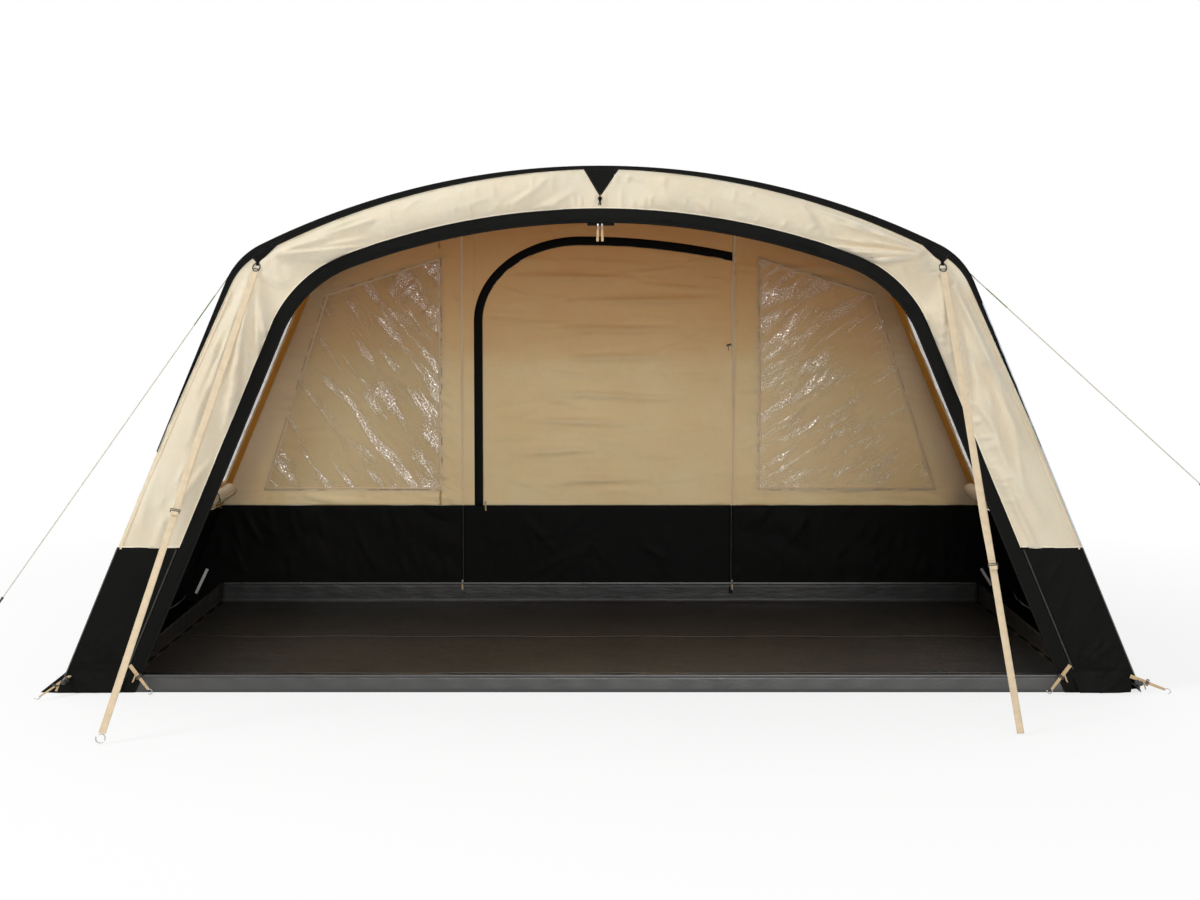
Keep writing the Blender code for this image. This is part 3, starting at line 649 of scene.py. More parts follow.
def new_material(name, roughness, constants):
    """A material's tree and its Principled BSDF, with constants set on the shader's own sockets."""
    made = bpy.data.materials.new(name)
    made.use_nodes = True
    shader = made.node_tree.nodes["Principled BSDF"]
    for key, value in {"Roughness": roughness, **constants}.items():
        shader.inputs[key].default_value = value
    return Tree(made.node_tree), shader.inputs


def paint_shade_on_top(name, glow):
    """Paints shade into a cloth's colour towards its top, darker and more amber, for the upper wall lit only
    by the light through the roof: painted shade.
    """
    tree = Tree(mat(name).node_tree)
    tinted = mat(name).node_tree.nodes["Principled BSDF"].inputs["Base Color"]
    plain = tinted.links[0].from_socket
    height = tree.parts(tree.add("ShaderNodeTexCoord").outputs["Object"])["Z"]
    climbs = [tree.ramp(height, *span) for span in ((1.26, 1.36, 0.0, 0.25), (1.36, 2.05, 0.0, 0.5))]
    tree.link(tree.mix(tree.math("ADD", *climbs), plain, glow), tinted)


def cloth_material(
    name, base, shade, roughness=0.85, threads=900.0, bump=0.25, scale=2.6, wrinkle=0.0, **constants
):
    """Woven cloth on the piece's own cut: thread, mottled dye and a roughness that follows it."""
    constants = {"Sheen Weight": 0.15, "Specular IOR Level": 0.3, **constants}
    tree, shader = new_material(name, roughness, constants)
    vector = tree.add("ShaderNodeTexCoord").outputs["UV"]
    mottle = tree.group("mottle", vector, {"Scale": scale})
    weave = tree.group("weave", vector, {"Threads": threads})
    tone = tree.mix(mottle["Mask"], base, shade)
    tree.link(tree.mix(tree.ramp(weave["Height"], -0.5, 0.5, 0.0, 0.22), tone, shade), shader["Base Color"])
    tree.link(tree.ramp(mottle["Mask"], 0, 1, roughness - 0.07, roughness + 0.07), shader["Roughness"])
    height = tree.math("ADD", weave["Height"], tree.times(mottle["Fine"], 1.5))
    if wrinkle:
        long = tree.scaled(vector, (1.0, 2.6, 1.0))
        height = tree.math("ADD", height, tree.times(tree.noise(long, 7.0, 5.0, 0.6), wrinkle))
    tree.link(tree.bump(height, bump, 0.00012), shader["Normal"])


def solid_material(name, base, shade, roughness, metallic=0.0):
    """Metal or plastic with handling marks, on object coordinates."""
    tree, shader = new_material(name, roughness, {"Metallic": metallic})
    mottle = tree.group("mottle", tree.add("ShaderNodeTexCoord").outputs["Object"], {"Scale": 60.0})
    tree.link(tree.mix(mottle["Mask"], base, shade), shader["Base Color"])
    tree.link(tree.ramp(mottle["Fine"], 0.3, 0.7, roughness - 0.08, roughness + 0.12), shader["Roughness"])
    tree.link(tree.bump(mottle["Fine"], 0.15, 0.0004), shader["Normal"])


def film_material(name, slant, clear, film_tint, edge=0.0):
    """Clear window film with crinkle bumps and painted glints: white base colour, full alpha and metal along
    the glint streaks stand in for highlights; the edge gathers them near the tent's middle.
    """
    coat = {"Specular IOR Level": 0.6, "Coat Weight": 0.3, "Coat Roughness": 0.05}
    tree, shader = new_material(name, 0.12, coat)
    vector = tree.add("ShaderNodeTexCoord").outputs["UV"]
    crinkle = tree.group("crinkle", vector, {"Slant": slant, "Edge": edge})
    # Painted highlight: the glint mask turns the film white, opaque and metallic.
    tree.link(tree.mix(crinkle["Painted Glint"], film_tint, (1.0, 1.0, 1.0)), shader["Base Color"])
    tree.link(tree.ramp(crinkle["Painted Glint"], 0, 1, clear, 1.0), shader["Alpha"])
    tree.link(crinkle["Painted Glint"], shader["Metallic"])
    tree.link(tree.bump(crinkle["Height"], 0.6, 0.004), shader["Normal"])


# Geometry node trees
def row_tree():
    """Puts a small bar at every step of the given curves: stitches along them, zip teeth across them."""
    tree = bpy.data.node_groups.new("row_of_bars", "GeometryNodeTree")
    face = tree.interface
    face.new_socket("Geometry", in_out="INPUT", socket_type="NodeSocketGeometry")
    for key, default in (("Pitch", 0.007), ("Bar Length", 0.004), ("Bar Radius", 0.0006), ("Across", 0.0)):
        face.new_socket(key, in_out="INPUT", socket_type="NodeSocketFloat").default_value = default
    face.new_socket("Side", in_out="INPUT", socket_type="NodeSocketVector").default_value = sideways
    face.new_socket("Material", in_out="INPUT", socket_type="NodeSocketMaterial")
    face.new_socket("Geometry", in_out="OUTPUT", socket_type="NodeSocketGeometry")
    nodes = Tree(tree)
    given = nodes.add("NodeGroupInput").outputs

    def made(kind, settings, values):
        return nodes.add(kind, settings, values).outputs[0]

    steps = {"Curve": given[0], "Length": given["Pitch"]}
    points = made("GeometryNodeResampleCurve", {"mode": "LENGTH"}, steps)
    sizes = {"Vertices": 6, "Radius": given["Bar Radius"], "Depth": given["Bar Length"]}
    bar = made("GeometryNodeMeshCylinder", {"fill_type": "NGON"}, sizes)
    tangent = made("GeometryNodeInputTangent", None, None)
    headings = {0: given["Across"], 4: tangent, 5: given["Side"]}
    heading = nodes.add("ShaderNodeMix", {"data_type": "VECTOR"}, headings).outputs[1]
    turn = made("FunctionNodeAlignRotationToVector", {"axis": "Z"}, {"Vector": heading})
    placed = made("GeometryNodeInstanceOnPoints", None, {"Points": points, "Instance": bar, "Rotation": turn})
    real = made("GeometryNodeRealizeInstances", None, {0: placed})
    done = made("GeometryNodeSetMaterial", None, {"Geometry": real, "Material": given["Material"]})
    tree.links.new(done, nodes.add("NodeGroupOutput").inputs[0])
    return tree


def bars(name, lines, pitch, bar_length, bar_radius, finish, side=None):
    """A plain mesh of bars along some lines, made by the row tree."""
    curve = bpy.data.curves.new(name + "_line", "CURVE")
    curve.dimensions = "3D"
    for line in lines:
        spline = curve.splines.new("POLY")
        spline.points.add(len(line) - 1)
        spline.points.foreach_set("co", np.column_stack((line, np.ones(len(line)))).ravel())
    holder = bpy.data.objects.new(name + "_line", curve)
    bpy.context.scene.collection.objects.link(holder)
    tree = bpy.data.node_groups.get("row_of_bars") or row_tree()
    modifier = holder.modifiers.new("row", "NODES")
    modifier.node_group = tree
    sockets = {item.name: item.identifier for item in tree.interface.items_tree if item.in_out == "INPUT"}
    values = {"Pitch": pitch, "Bar Length": bar_length, "Bar Radius": bar_radius, "Material": mat(finish)}
    values["Across"] = 0.0 if side is None else 1.0
    values["Side"] = tuple(float(v) for v in side or sideways)
    for key, value in values.items():
        modifier[sockets[key]] = value
    bpy.context.view_layer.update()
    graph = bpy.context.evaluated_depsgraph_get()
    mesh = bpy.data.meshes.new_from_object(holder.evaluated_get(graph), depsgraph=graph)
    bpy.data.objects.remove(holder)
    mesh.name = name
    obj = bpy.data.objects.new(name, mesh)
    bpy.context.scene.collection.objects.link(obj)
    declare(obj, "tent")


def stitches(name, lines, finish="tan_thread", radius=0.0004):
    bars(name, lines, cloth().stitch_pitch, 0.004, radius, finish)


def zip_teeth(name, lines, tooth, radius, side=sideways):
    bars(name, lines, cloth().tooth_pitch, tooth, radius, "zip_teeth", side)


class TENT_OT_stage(bpy.types.Operator):
    """Camera, lights, pale floor and white background"""

    bl_idname = "tent.stage"
    bl_label = "Stage"

    def execute(self, context):
        link = context.scene.collection.objects.link
        camera = bpy.data.cameras.new("camera")
        camera.lens = 58.8
        camera.sensor_width = 36
        camera.clip_end = 100
        viewer = bpy.data.objects.new("camera", camera)
        viewer.location = (0, -9.2, 1.63)
        viewer.rotation_euler = (math.radians(90 - 4.46), 0, 0)
        link(viewer)
        context.scene.camera = viewer
        for name, place, size, power in (
            ("key_light", (-7.0, -4.5, 8.5), 2.5, 500),
            ("front_light", (1.5, -14.0, 4.0), 5.0, 570),
            ("top_light", (1.0, 2.5, 9.0), 6.0, 240),
        ):
            lamp = bpy.data.lights.new(name, "AREA")
            lamp.size = size
            lamp.energy = power
            light = bpy.data.objects.new(name, lamp)
            light.location = place
            light.rotation_euler = (Vector((0, 0, 0.9)) - Vector(place)).to_track_quat("-Z", "Y").to_euler()
            link(light)
        white_world()
        context.scene.view_settings.view_transform = "Standard"
        mesh = bpy.data.meshes.new("studio_floor")
        mesh.from_pydata([(x, y, 0) for x, y in rectangle(-30, 30, -30, 30)], [], [(0, 1, 2, 3)])
        floor_material()
        mesh.materials.append(mat("studio_floor"))
        ground = bpy.data.objects.new("studio_floor", mesh)
        ground.location.z = -0.0005
        link(ground)
        return {"FINISHED"}


def seen_white(tree):
    """1 for rays that show the background: the camera's own, and those in gloss or through film."""
    path = tree.add("ShaderNodeLightPath").outputs
    either = tree.math("MAXIMUM", path["Is Camera Ray"], path["Is Glossy Ray"])
    return tree.math("MAXIMUM", either, path["Is Transmission Ray"])


def white_world():
    world = bpy.data.worlds.new("studio")
    world.use_nodes = True
    tree = Tree(world.node_tree)
    light = world.node_tree.nodes["Background"].inputs
    light["Color"].default_value = (1, 1, 1, 1)
    tree.link(tree.ramp(seen_white(tree), 0, 1, 0.50, 1.0), light["Strength"])
    bpy.context.scene.world = world


def floor_material():
    """Pale floor that reads white to the camera and still takes a soft shadow."""
    pale = {"Specular IOR Level": 0.0, "Base Color": (0.85, 0.85, 0.85, 1)}
    tree, _ = new_material("studio_floor", 0.9, pale)
    nodes = tree.tree.nodes
    glow = tree.add("ShaderNodeEmission", None, {"Color": (1, 1, 1, 1), "Strength": 1.0}).outputs[0]
    place = tree.add("ShaderNodeTexCoord").outputs["Object"]
    distance = tree.add("ShaderNodeVectorMath", {"operation": "LENGTH"}, {0: place}).outputs["Value"]
    share = tree.times(seen_white(tree), tree.ramp(distance, 2.5, 5.5, 0.75, 1.0))
    values = {0: share, 1: nodes["Principled BSDF"].outputs[0], 2: glow}
    mixed = tree.add("ShaderNodeMixShader", None, values).outputs[0]
    tree.link(mixed, nodes["Material Output"].inputs[0])


class TENT_OT_materials(bpy.types.Operator):
    """Node groups and materials of every piece"""

    bl_idname = "tent.materials"
    bl_label = "Materials"

    def execute(self, context):
        c = context.scene.tent_colours
        weave_group()
        mottle_group()
        crinkle_group()

        def times(values, factor):
            return [value * factor for value in values]

        black, pale_black = c.black[:], times(c.black, 1.7)
        light_through = {
            "Subsurface Weight": 0.4,
            "Subsurface Radius": (0.008, 0.005, 0.003),
            "Subsurface Scale": 1.0,
        }
        shines = (0.06, 0.35, 0.7, 0.1)
        matt, satin, gloss, dull = ({"Sheen Weight": 0.0, "Specular IOR Level": n} for n in shines)
        shaded = {**dull, **light_through}
        strap_weave, rope_weave = (0.75, 420, 0.9, 25), (0.8, 300, 0.6, 60)
        # The inner side, the tapes, the ceiling and the amber strip are one tan cloth painted as light and
        # shade: lighter and warmer inside, dark amber under the roof, amber where light shines through.
        for name, base, shade, weave, constants in (
            ("tan_outside", c.tan[:], c.tan_shade[:], (), light_through),
            ("tan_inside_painted_light_and_shade", c.inner[:], c.inner_shade[:], (), shaded),
            ("ceiling_painted_shade", c.ceiling[:], times(c.ceiling, 0.85), (), shaded),
            ("tan_amber", c.amber[:], times(c.amber, 0.88), (), shaded),
            ("tan_tape", c.inner[:], c.inner_shade[:], (), {}),
            ("beam_sleeve", srgb(206, 182, 142), srgb(190, 164, 124), (), {}),
            ("cream_piping_painted_highlight", srgb(248, 240, 222), srgb(240, 228, 204), (), {}),
            ("pale_lining", srgb(250, 250, 248), srgb(236, 236, 234), (), {}),
            ("pale_painted_highlight", srgb(214, 220, 230), srgb(180, 190, 206), (), {}),
            ("black_canvas", black, pale_black, (0.55, 700, 0.3, 1.6, 60.0), matt),
            ("floor_cloth", c.floor[:], c.floor_shade[:], (0.44, 500, 0.5, 1.2, 90.0), satin),
            ("floor_lip", c.floor_shade[:], c.floor[:], (0.36, 500, 0.5, 1.5, 22.0), gloss),
            ("beige_webbing", c.webbing[:], times(c.webbing, 0.7), strap_weave, {}),
            ("strap_webbing", c.strap[:], times(c.strap, 0.8), strap_weave, {}),
            ("black_webbing", black, pale_black, (0.7, 420, 0.9, 25), matt),
            ("rope", c.rope[:], times(c.rope, 0.8), rope_weave, {}),
            ("green_rope", srgb(120, 150, 74), srgb(84, 112, 50), rope_weave, {}),
            ("tan_thread", srgb(206, 182, 142), srgb(186, 160, 120), (0.8, 2000, 0.4, 60), {}),
            ("black_thread", srgb(52, 52, 50), srgb(40, 40, 40), (0.7, 2000, 0.4, 60), {}),
        ):
            cloth_material(name, base, shade, *weave, **constants)
        # Painted shade: the inner side turns darker and more amber towards its top.
        paint_shade_on_top("tan_inside_painted_light_and_shade", srgb(204, 154, 92))
        for name, base, shade, *gloss in (
            ("plastic", (30, 30, 30), (46, 46, 46), 0.42),
            ("grey_plastic", (88, 88, 86), (70, 70, 70), 0.45),
            ("zip_teeth", (58, 56, 52), (84, 82, 76), 0.45),
            ("metal", (196, 194, 188), (160, 156, 148), 0.28, 1.0),
            ("dark_metal", (84, 82, 78), (60, 58, 56), 0.3, 1.0),
        ):
            solid_material(name, srgb(*base), srgb(*shade), *gloss)
        # Both rear windows are the same film; the right one's lighter, clearer tint stands in for the hazy
        # reflection on it: painted reflection.
        film_material("rear_film_left", 0.9, 0.12, (0.50, 0.40, 0.26), 1.0)
        film_material("rear_film_right", -0.6, 0.10, (0.95, 0.80, 0.56), 1.0)
        film_material("side_film", -0.3, 0.35, (0.85, 0.88, 0.92))
        return {"FINISHED"}


# Straps and ropes are placed first, because their reach decides whether the view holds them
hook_place = {"left": (-1.390, -1.2038, 1.7686), "right": (1.390, -1.2038, 1.7686)}
strap_foot = {"left": (-1.83, -2.15, 0.006), "right": (1.57, -1.99, 0.006)}
hook_length = 0.042
strap_width, strap_rise = 0.028, 0.001
ring_radius, ring_wire = 0.017, 0.0022
buckle_share = {"left": 0.545, "right": 0.655}
buckle_lift = 0.0070
rope_root = {"left": (-1.50407, -1.178, 1.72915), "right": (1.50407, -1.178, 1.72915)}
rope_end = {"left": (-2.494, -1.178, 0.355), "right": (2.502, -1.178, 0.833)}
guy_tab_length, runner_half = 0.03, 0.018
gap = 0.0003


def uphill(start, end):
    """The direction from an end back to the start, a level direction across it, and the distance."""
    reach = np.linalg.norm(start - end)
    back = (start - end) / reach
    level = np.array((1.0, 0, 0)) - back[0] * back
    return back, level / np.linalg.norm(level), reach


class TENT_OT_storm_straps(bpy.types.Operator):
    """Webbing straps from the shoulders to the ground, with rings, buckles and hooks"""

    bl_idname = "tent.storm_straps"
    bl_label = "Storm straps"

    def execute(self, context):
        for word, _ in tent_sides:
            start = np.array(hook_place[word])
            back, level, reach = uphill(start, np.array(strap_foot[word]))
            off = -np.cross(back, level)
            top = hook_length + gap
            run = reach - top - (2 * ring_radius + 2 * ring_wire + gap if word == "left" else 0)
            count = 60
            line = start - back * (top + run * np.linspace(0, 1, count))[:, None]
            strips = Strips()
            strips.ribbon(line, level, off, strap_width, strap_rise)
            above = line[: int(count * buckle_share[word])]
            shares = np.linspace(0, 1, len(above))
            slide = (0.0008 + 0.0035 * step_up(shares, 0.55, 0.85) * (1 - step_up(shares, 0.85, 1)))[:, None]
            doubled = above - level * slide + off * (0.0014 + slide * 0.3)
            strips.ribbon(doubled, level, off, strap_width, strap_rise)
            loop = np.linspace(line[0] + back * 0.006, line[0], 6)
            strips.ribbon(loop, level, off, strap_width * 0.9, strap_rise)
            strap = strips.object("storm_webbing_" + word, "strap_webbing", "storm_strap_" + word)
            riders = [self.buckle(word, start - back * (top + run * buckle_share[word]), level, off, back)]
            if word == "left":
                ring = Strips()
                centre = start - back * (top + run + gap + ring_radius + ring_wire)
                ring.tube(oval_line(centre, level, back, ring_radius, ring_radius, 48), ring_wire, 10)
                riders.append(ring.object("foot_ring", "metal", "strap_ring_left", "strap_ring_left"))
            self.hook(word, start - back * hook_length / 2, level, back)
            lines = [line + level * side * strap_width * 0.4 + off * 0.0012 for side in (-1, 1)]
            stitches("storm_stitches_" + word, lines)
        return {"FINISHED"}

    def buckle(self, word, centre, level, off, back):
        body = "strap_buckle_" + word
        fold, buckle = Strips(), Strips()
        fold_line = centre - back * np.linspace(0.003, 0.018, 6)[:, None] + off * 0.0088
        fold.ribbon(fold_line, level, off, strap_width * 1.1, 0.0016)
        fold.object("buckle_fold_" + word, "strap_webbing", body=body)
        buckle.ladder(centre + off * buckle_lift, level, back, strap_width / 2 + 0.004, 0.007, 8, 0.0018)
        return buckle.object("ladder_buckle_" + word, "plastic", body, body)

    def hook(self, word, centre, level, back):
        """The tilted oval ring below the shoulder patch, with the strap's loop through it."""
        strips = Strips()
        strips.tube(oval_line(centre, level, back, 0.0145, 0.0185), 0.0026, 10)
        strips.tube(np.linspace(centre - level * 0.0135, centre + level * 0.0135, 6) - back * 0.006, 0.0018)
        strips.object("hook_ring_" + word, "dark_metal", "shoulder_hook_" + word)


class TENT_OT_guy_ropes(bpy.types.Operator):
    """Thin twisted ropes from the shoulders, with their tabs and runners"""

    bl_idname = "tent.guy_ropes"
    bl_label = "Guy ropes"

    def execute(self, context):
        for word, _ in tent_sides:
            root, end = np.array(rope_root[word]), np.array(rope_end[word])
            back, _, _ = uphill(root, end)
            first = root - back * (guy_tab_length + gap)
            count = 600
            line = stretch(first, end - first, count)
            strips = Strips()
            strips.tube(line, 0.0024, 9, 3, 130.0, 0.04)
            rope = strips.object("rope_" + word, "rope", "guy_rope_" + word, more=("green_rope",))
            upper, lower = line[int(count * 0.05)][2], line[int(count * 0.14)][2]
            for face in rope.data.polygons:
                if lower < face.center.z < upper:
                    face.material_index = 1
            self.runner(word, end + back * (0.012 + runner_half), back)
            tab = Strips()
            tab_line = np.linspace(root, first + back * 0.001, 8)
            tab.ribbon(tab_line, inwards, np.cross(inwards, back), 0.02, 0.0012)
            tab.object("rope_tab_" + word, "black_webbing", "guy_tab_" + word)
        return {"FINISHED"}

    def runner(self, word, centre, back):
        strips = Strips()
        shares = np.linspace(-1, 1, 9)
        radii = 0.0045 + 0.0015 * np.abs(shares) ** 3
        strips.tube(centre + back * (runner_half * shares)[:, None], radii, 12)
        body = "guy_runner_" + word
        return strips.object("runner_" + word, "plastic", body, body)


# The tunnel: roof, side walls and air beams
inner_line = 0.0033  # how far the CAD's cloth reaches inside the arches and planes


def roof_sag(y):
    """How far the roof hangs between its beams."""
    front, rear = front_plane() + 0.16, rear_plane() - 0.02
    return 0.018 * np.sin(math.pi * np.clip((y - front) / (rear - front), 0, 1))


class TENT_OT_roof(bpy.types.Operator):
    """The roof over both beams, sagging between them, with its seams"""

    bl_idname = "tent.roof"
    bl_label = "Roof"

    def execute(self, context):
        arch, rng = outer_arch(), random()
        places = arch.places(0.025, last=2)
        depths = np.arange(front_plane() + inner_line, tunnel_end() + 0.001, 0.025)
        depths[-1] = tunnel_end()
        run = lengths_along(arch.at(places)[:, :2])
        run -= run[-1] / 2
        half = run[-1]
        flat = np.column_stack((np.tile(run, len(depths)), np.repeat(depths, len(run))))
        lines = hatches(
            rng,
            (90, (-half, half, -1.1, -0.7), 90, 14, 0.35, 0.010, 0.004),
            (90, (-half, half, 0.8, 1.2), 90, 14, 0.35, 0.010, 0.004),
            (50, (-half, half, -0.9, 1.1), 70, 40, 0.5, 0.014, 0.003),
        )
        relief = ridges(flat, lines) + swell(rng, flat, 0.5, 0.003)
        relief *= step_up(flat[:, 1], depths[0], depths[0] + 0.08)
        hold = 1 - step_up(np.abs(run), half - 0.25, half)
        low = (roof_sag(flat[:, 1]) - relief) * np.tile(hold, len(depths))
        points, _ = arch.line(np.tile(places, len(depths)), flat[:, 1], 0, low)
        faces = grid_faces(len(depths), len(run))
        sheet_of("roof_cloth", "roof_panel", points, faces, flat, upwards, ("tan_outside", "ceiling_painted_shade"))
        strips, stitched = Strips(), []
        for y in (-1.03, 0.1, 1.17):
            line, out = arch.line(places, y, 0, roof_sag(y) * hold - 0.0012)
            strips.ribbon(line, inwards, out, cloth().seam_width, 0.0014)
            stitched += [line + out * 0.0016 + np.array((0, side * 0.005, 0)) for side in (-1, 1)]
        strips.object("roof_seams", "tan_outside")
        stitches("roof_stitches", stitched)
        return {"FINISHED"}


def side_place(side, flat, relief):
    """Points of a leaning side wall from places along the tent and heights, moved inwards by the relief."""
    lean = shape().lean
    x = shape().arch_half_foot - flat[:, 1] * math.tan(lean) - relief * math.cos(lean)
    return rows_of(side * x, flat[:, 0], flat[:, 1] - relief * math.sin(lean))


def side_seam(y):
    """Height of the seam between side wall and mudwall."""
    s = shape()
    share = np.clip((rear_plane() - y) / s.room_depth, 0, 1)
    return s.rear_mudwall + (s.front_mudwall - s.rear_mudwall) * share


def beside_beams(y):
    """How far a side wall may be drawn inwards before it meets a beam's sleeve."""
    away = np.minimum(y - front_plane() - shape().beam_diameter - 0.01, rear_plane() - y)
    return 0.0015 + 0.02 * step_up(away, 0, 0.08)


window_end, window_low, window_high = 0.95, 0.68, 1.54
window_corners = rectangle(-window_end, window_end, window_low, window_high)
blind_end, tie_places = 0.945, (-0.5, 0.5)


class TENT_OT_side_walls(bpy.types.Operator):
    """Leaning side walls with clear windows, rolled blinds and black mudwalls"""

    bl_idname = "tent.side_walls"
    bl_label = "Side walls"

    def execute(self, context):
        rng = random()
        front, rear = front_plane() + inner_line, tunnel_end()
        top = outer_arch().leg_top - gap
        seam = [(y, side_seam(y)) for y in (front, rear_plane(), rear)]
        for word, side in tent_sides:

            def sheet(name, node, flat, faces, relief, finishes, outward=side, wall=None):
                points = side_place(side, flat, relief)
                node = node and node + word
                sheet_of(name + word, node, points, faces, flat, (outward, 0, 0), finishes, wall)

            flat, faces = cut([*seam, (rear, top), (front, top)], [window_corners], coarse_step)
            lines = hatch(rng, 60, (front, rear, 0.55, top), 80, 25, 0.25, 0.009, 0.004)
            corners = [(x, z) for x in (-window_end, window_end) for z in (window_low, window_high)]
            lines += corner_fans(rng, corners, (0, 1.1), 0.01, 0.22, 40, 0.007, 0.004)
            relief = np.abs(ridges(flat, lines) + swell(rng, flat, 0.5, 0.003))
            relief = np.minimum(relief, beside_beams(flat[:, 0])) * step_up(top - flat[:, 1], 0, 0.12)
            sheet("side_cloth_", "side_wall_", flat, faces, relief, both_faces)
            self.painted_light_strip(sheet, side, top)
            self.window(sheet, rng, word, side)
            self.blind(word, side)
            self.mudwall(sheet, rng, word, side, front, rear)
        return {"FINISHED"}

    def painted_light_strip(self, sheet, side, top):
        """A sheet just inside the panel between window and rear wall, through which the light comes: painted
        light, coloured amber for the light shining through the cloth.
        """
        heights = np.linspace(side_seam(1.0) + 0.01, top - 0.05, 40)
        ends = [np.column_stack((np.full(40, y), heights)) for y in (window_end + 0.02, rear_plane() - 0.01)]
        flat, faces = ruled(*ends, 10)
        relief = np.full(len(flat), 0.008)
        sheet("side_panel_lining_", None, flat, faces, relief, ("tan_amber",), -side, lining_wall)

    def window(self, sheet, rng, word, side):
        lap = 0.012
        end = window_end + lap
        flat, faces = cut(rectangle(-end, end, window_low - lap, window_high + lap), [], middle_step)
        lines = hatch(rng, 120, (-end, end, window_low, window_high), 60, 25, 0.3, 0.005, 0.003)
        relief = 0.005 + np.abs(ridges(flat, lines))
        sheet("side_film_", "side_window_", flat, faces, relief, ("side_film",), side, 0.0008)
        tapes = Strips()
        out = np.array((side * math.cos(shape().lean), 0, math.sin(shape().lean)))
        corners = np.array([*window_corners, window_corners[0]])
        for a, b in zip(corners, corners[1:]):
            line = side_place(side, stretch(a, b - a, 40), np.full(40, 0.0095))
            run = (line[-1] - line[0]) / np.linalg.norm(line[-1] - line[0])
            tapes.ribbon(line, np.cross(out, run), -out, 0.022, 0.0015)
        tapes.object("side_window_tape_" + word, "tan_inside_painted_light_and_shade")

    def blind(self, word, side):
        """The blind rolled up below the window, as one sheet wound on itself, with two ties."""
        turns, count, rows = 5.0, 150, 70
        angle = np.linspace(0, 2 * math.pi * turns, count)
        radius = 0.012 + 0.0245 * angle / angle[-1]
        run = np.concatenate([[0], np.cumsum(np.hypot(np.diff(radius), radius[1:] * np.diff(angle)))])
        inward = np.array((-side * math.cos(shape().lean), -math.sin(shape().lean)))
        foot = side_place(side, np.array([(0, window_low - 0.03)]), np.zeros(1))[0]
        x, z = foot[[0, 2]] + inward * 0.0412
        points, flat = [], []
        for y in np.linspace(-blind_end, blind_end, rows):
            wave = 1 + 0.02 * np.sin(angle * 2 + 9 * y) + 0.03 * math.sin(31 * y) * np.sin(angle)
            squeeze = 1 - 0.16 * sum(math.exp(-(((y - tie) / 0.02) ** 2)) for tie in tie_places)
            r = radius * wave * squeeze
            droop = 0.006 * math.sin(math.pi * (y / blind_end + 1) * 2)
            points.append(rows_of(x + r * np.cos(angle), y, z - abs(droop) + r * np.sin(angle)))
            flat.append(np.column_stack((run, np.full(count, y))))
        sheet_of(
            "rolled_blind_" + word,
            "side_blind_" + word,
            np.concatenate(points),
            grid_faces(rows, count),
            np.concatenate(flat),
            (0, 0, 0),
            ("tan_inside_painted_light_and_shade",),
            lining_wall,
            (float(np.ptp(run)), 2 * blind_end),
        )
        ties = Strips()
        turn = np.linspace(0, 2 * math.pi, 40)
        for y in tie_places:
            ring = rows_of(x + 0.034 * np.cos(turn), y, z + 0.034 * np.sin(turn))
            ties.ribbon(ring, inwards, rows_of(np.cos(turn), 0, np.sin(turn)), 0.014, 0.0015)
            end, drop = ring[0] + np.array((-side * 0.004, 0, 0)), np.array((0, 0.004, -0.05))
            ties.tube(stretch(end, drop, 8), 0.0016)
            ties.tube(stretch(end + drop, (0, 0.013, 0), 8, -1), 0.0042, 10)
        ties.object("blind_ties_" + word, "plastic")

    def mudwall(self, sheet, rng, word, side, front, rear):
        foot = 0.0014
        high = side_seam(front)
        flat, faces = cut(rectangle(front, rear, foot, high), [], coarse_step)
        flat[:, 1] = foot + (flat[:, 1] - foot) * (side_seam(flat[:, 0]) - foot) / (high - foot)
        lines = hatch(rng, 70, (front, rear, 0.0, 0.55), 75, 30, 0.3, 0.012, 0.007)
        relief = np.abs(ridges(flat, lines) + swell(rng, flat, 0.35, 0.004)) * step_up(flat[:, 1], 0.0, 0.1)
        relief = np.minimum(relief, beside_beams(flat[:, 0]))
        sheet("side_skirt_", "side_mudwall_", flat, faces, relief, canvas_face)
        inner, outer = shape().floor_half_width - 0.05, shape().arch_half_foot - 0.012
        ys = np.linspace(front + 0.01, rear_plane() - 0.01, 90)
        flat, faces = ruled(*(np.column_stack((np.full(90, x), ys)) for x in (inner, outer)), 12)
        climb = 0.012 * np.clip((flat[:, 0] - inner - 0.05) / 0.2, 0, 1) ** 2
        lift = 0.002 + climb + 0.002 * (1 + np.sin(flat[:, 1] * 23))
        points = rows_of(side * flat[:, 0], flat[:, 1], lift * (flat[:, 0] > inner + 0.045) + 0.0012)
        name = "ground_flap_" + word
        sheet_of(name, None, points, faces, flat, upwards, canvas_face, 0.001)


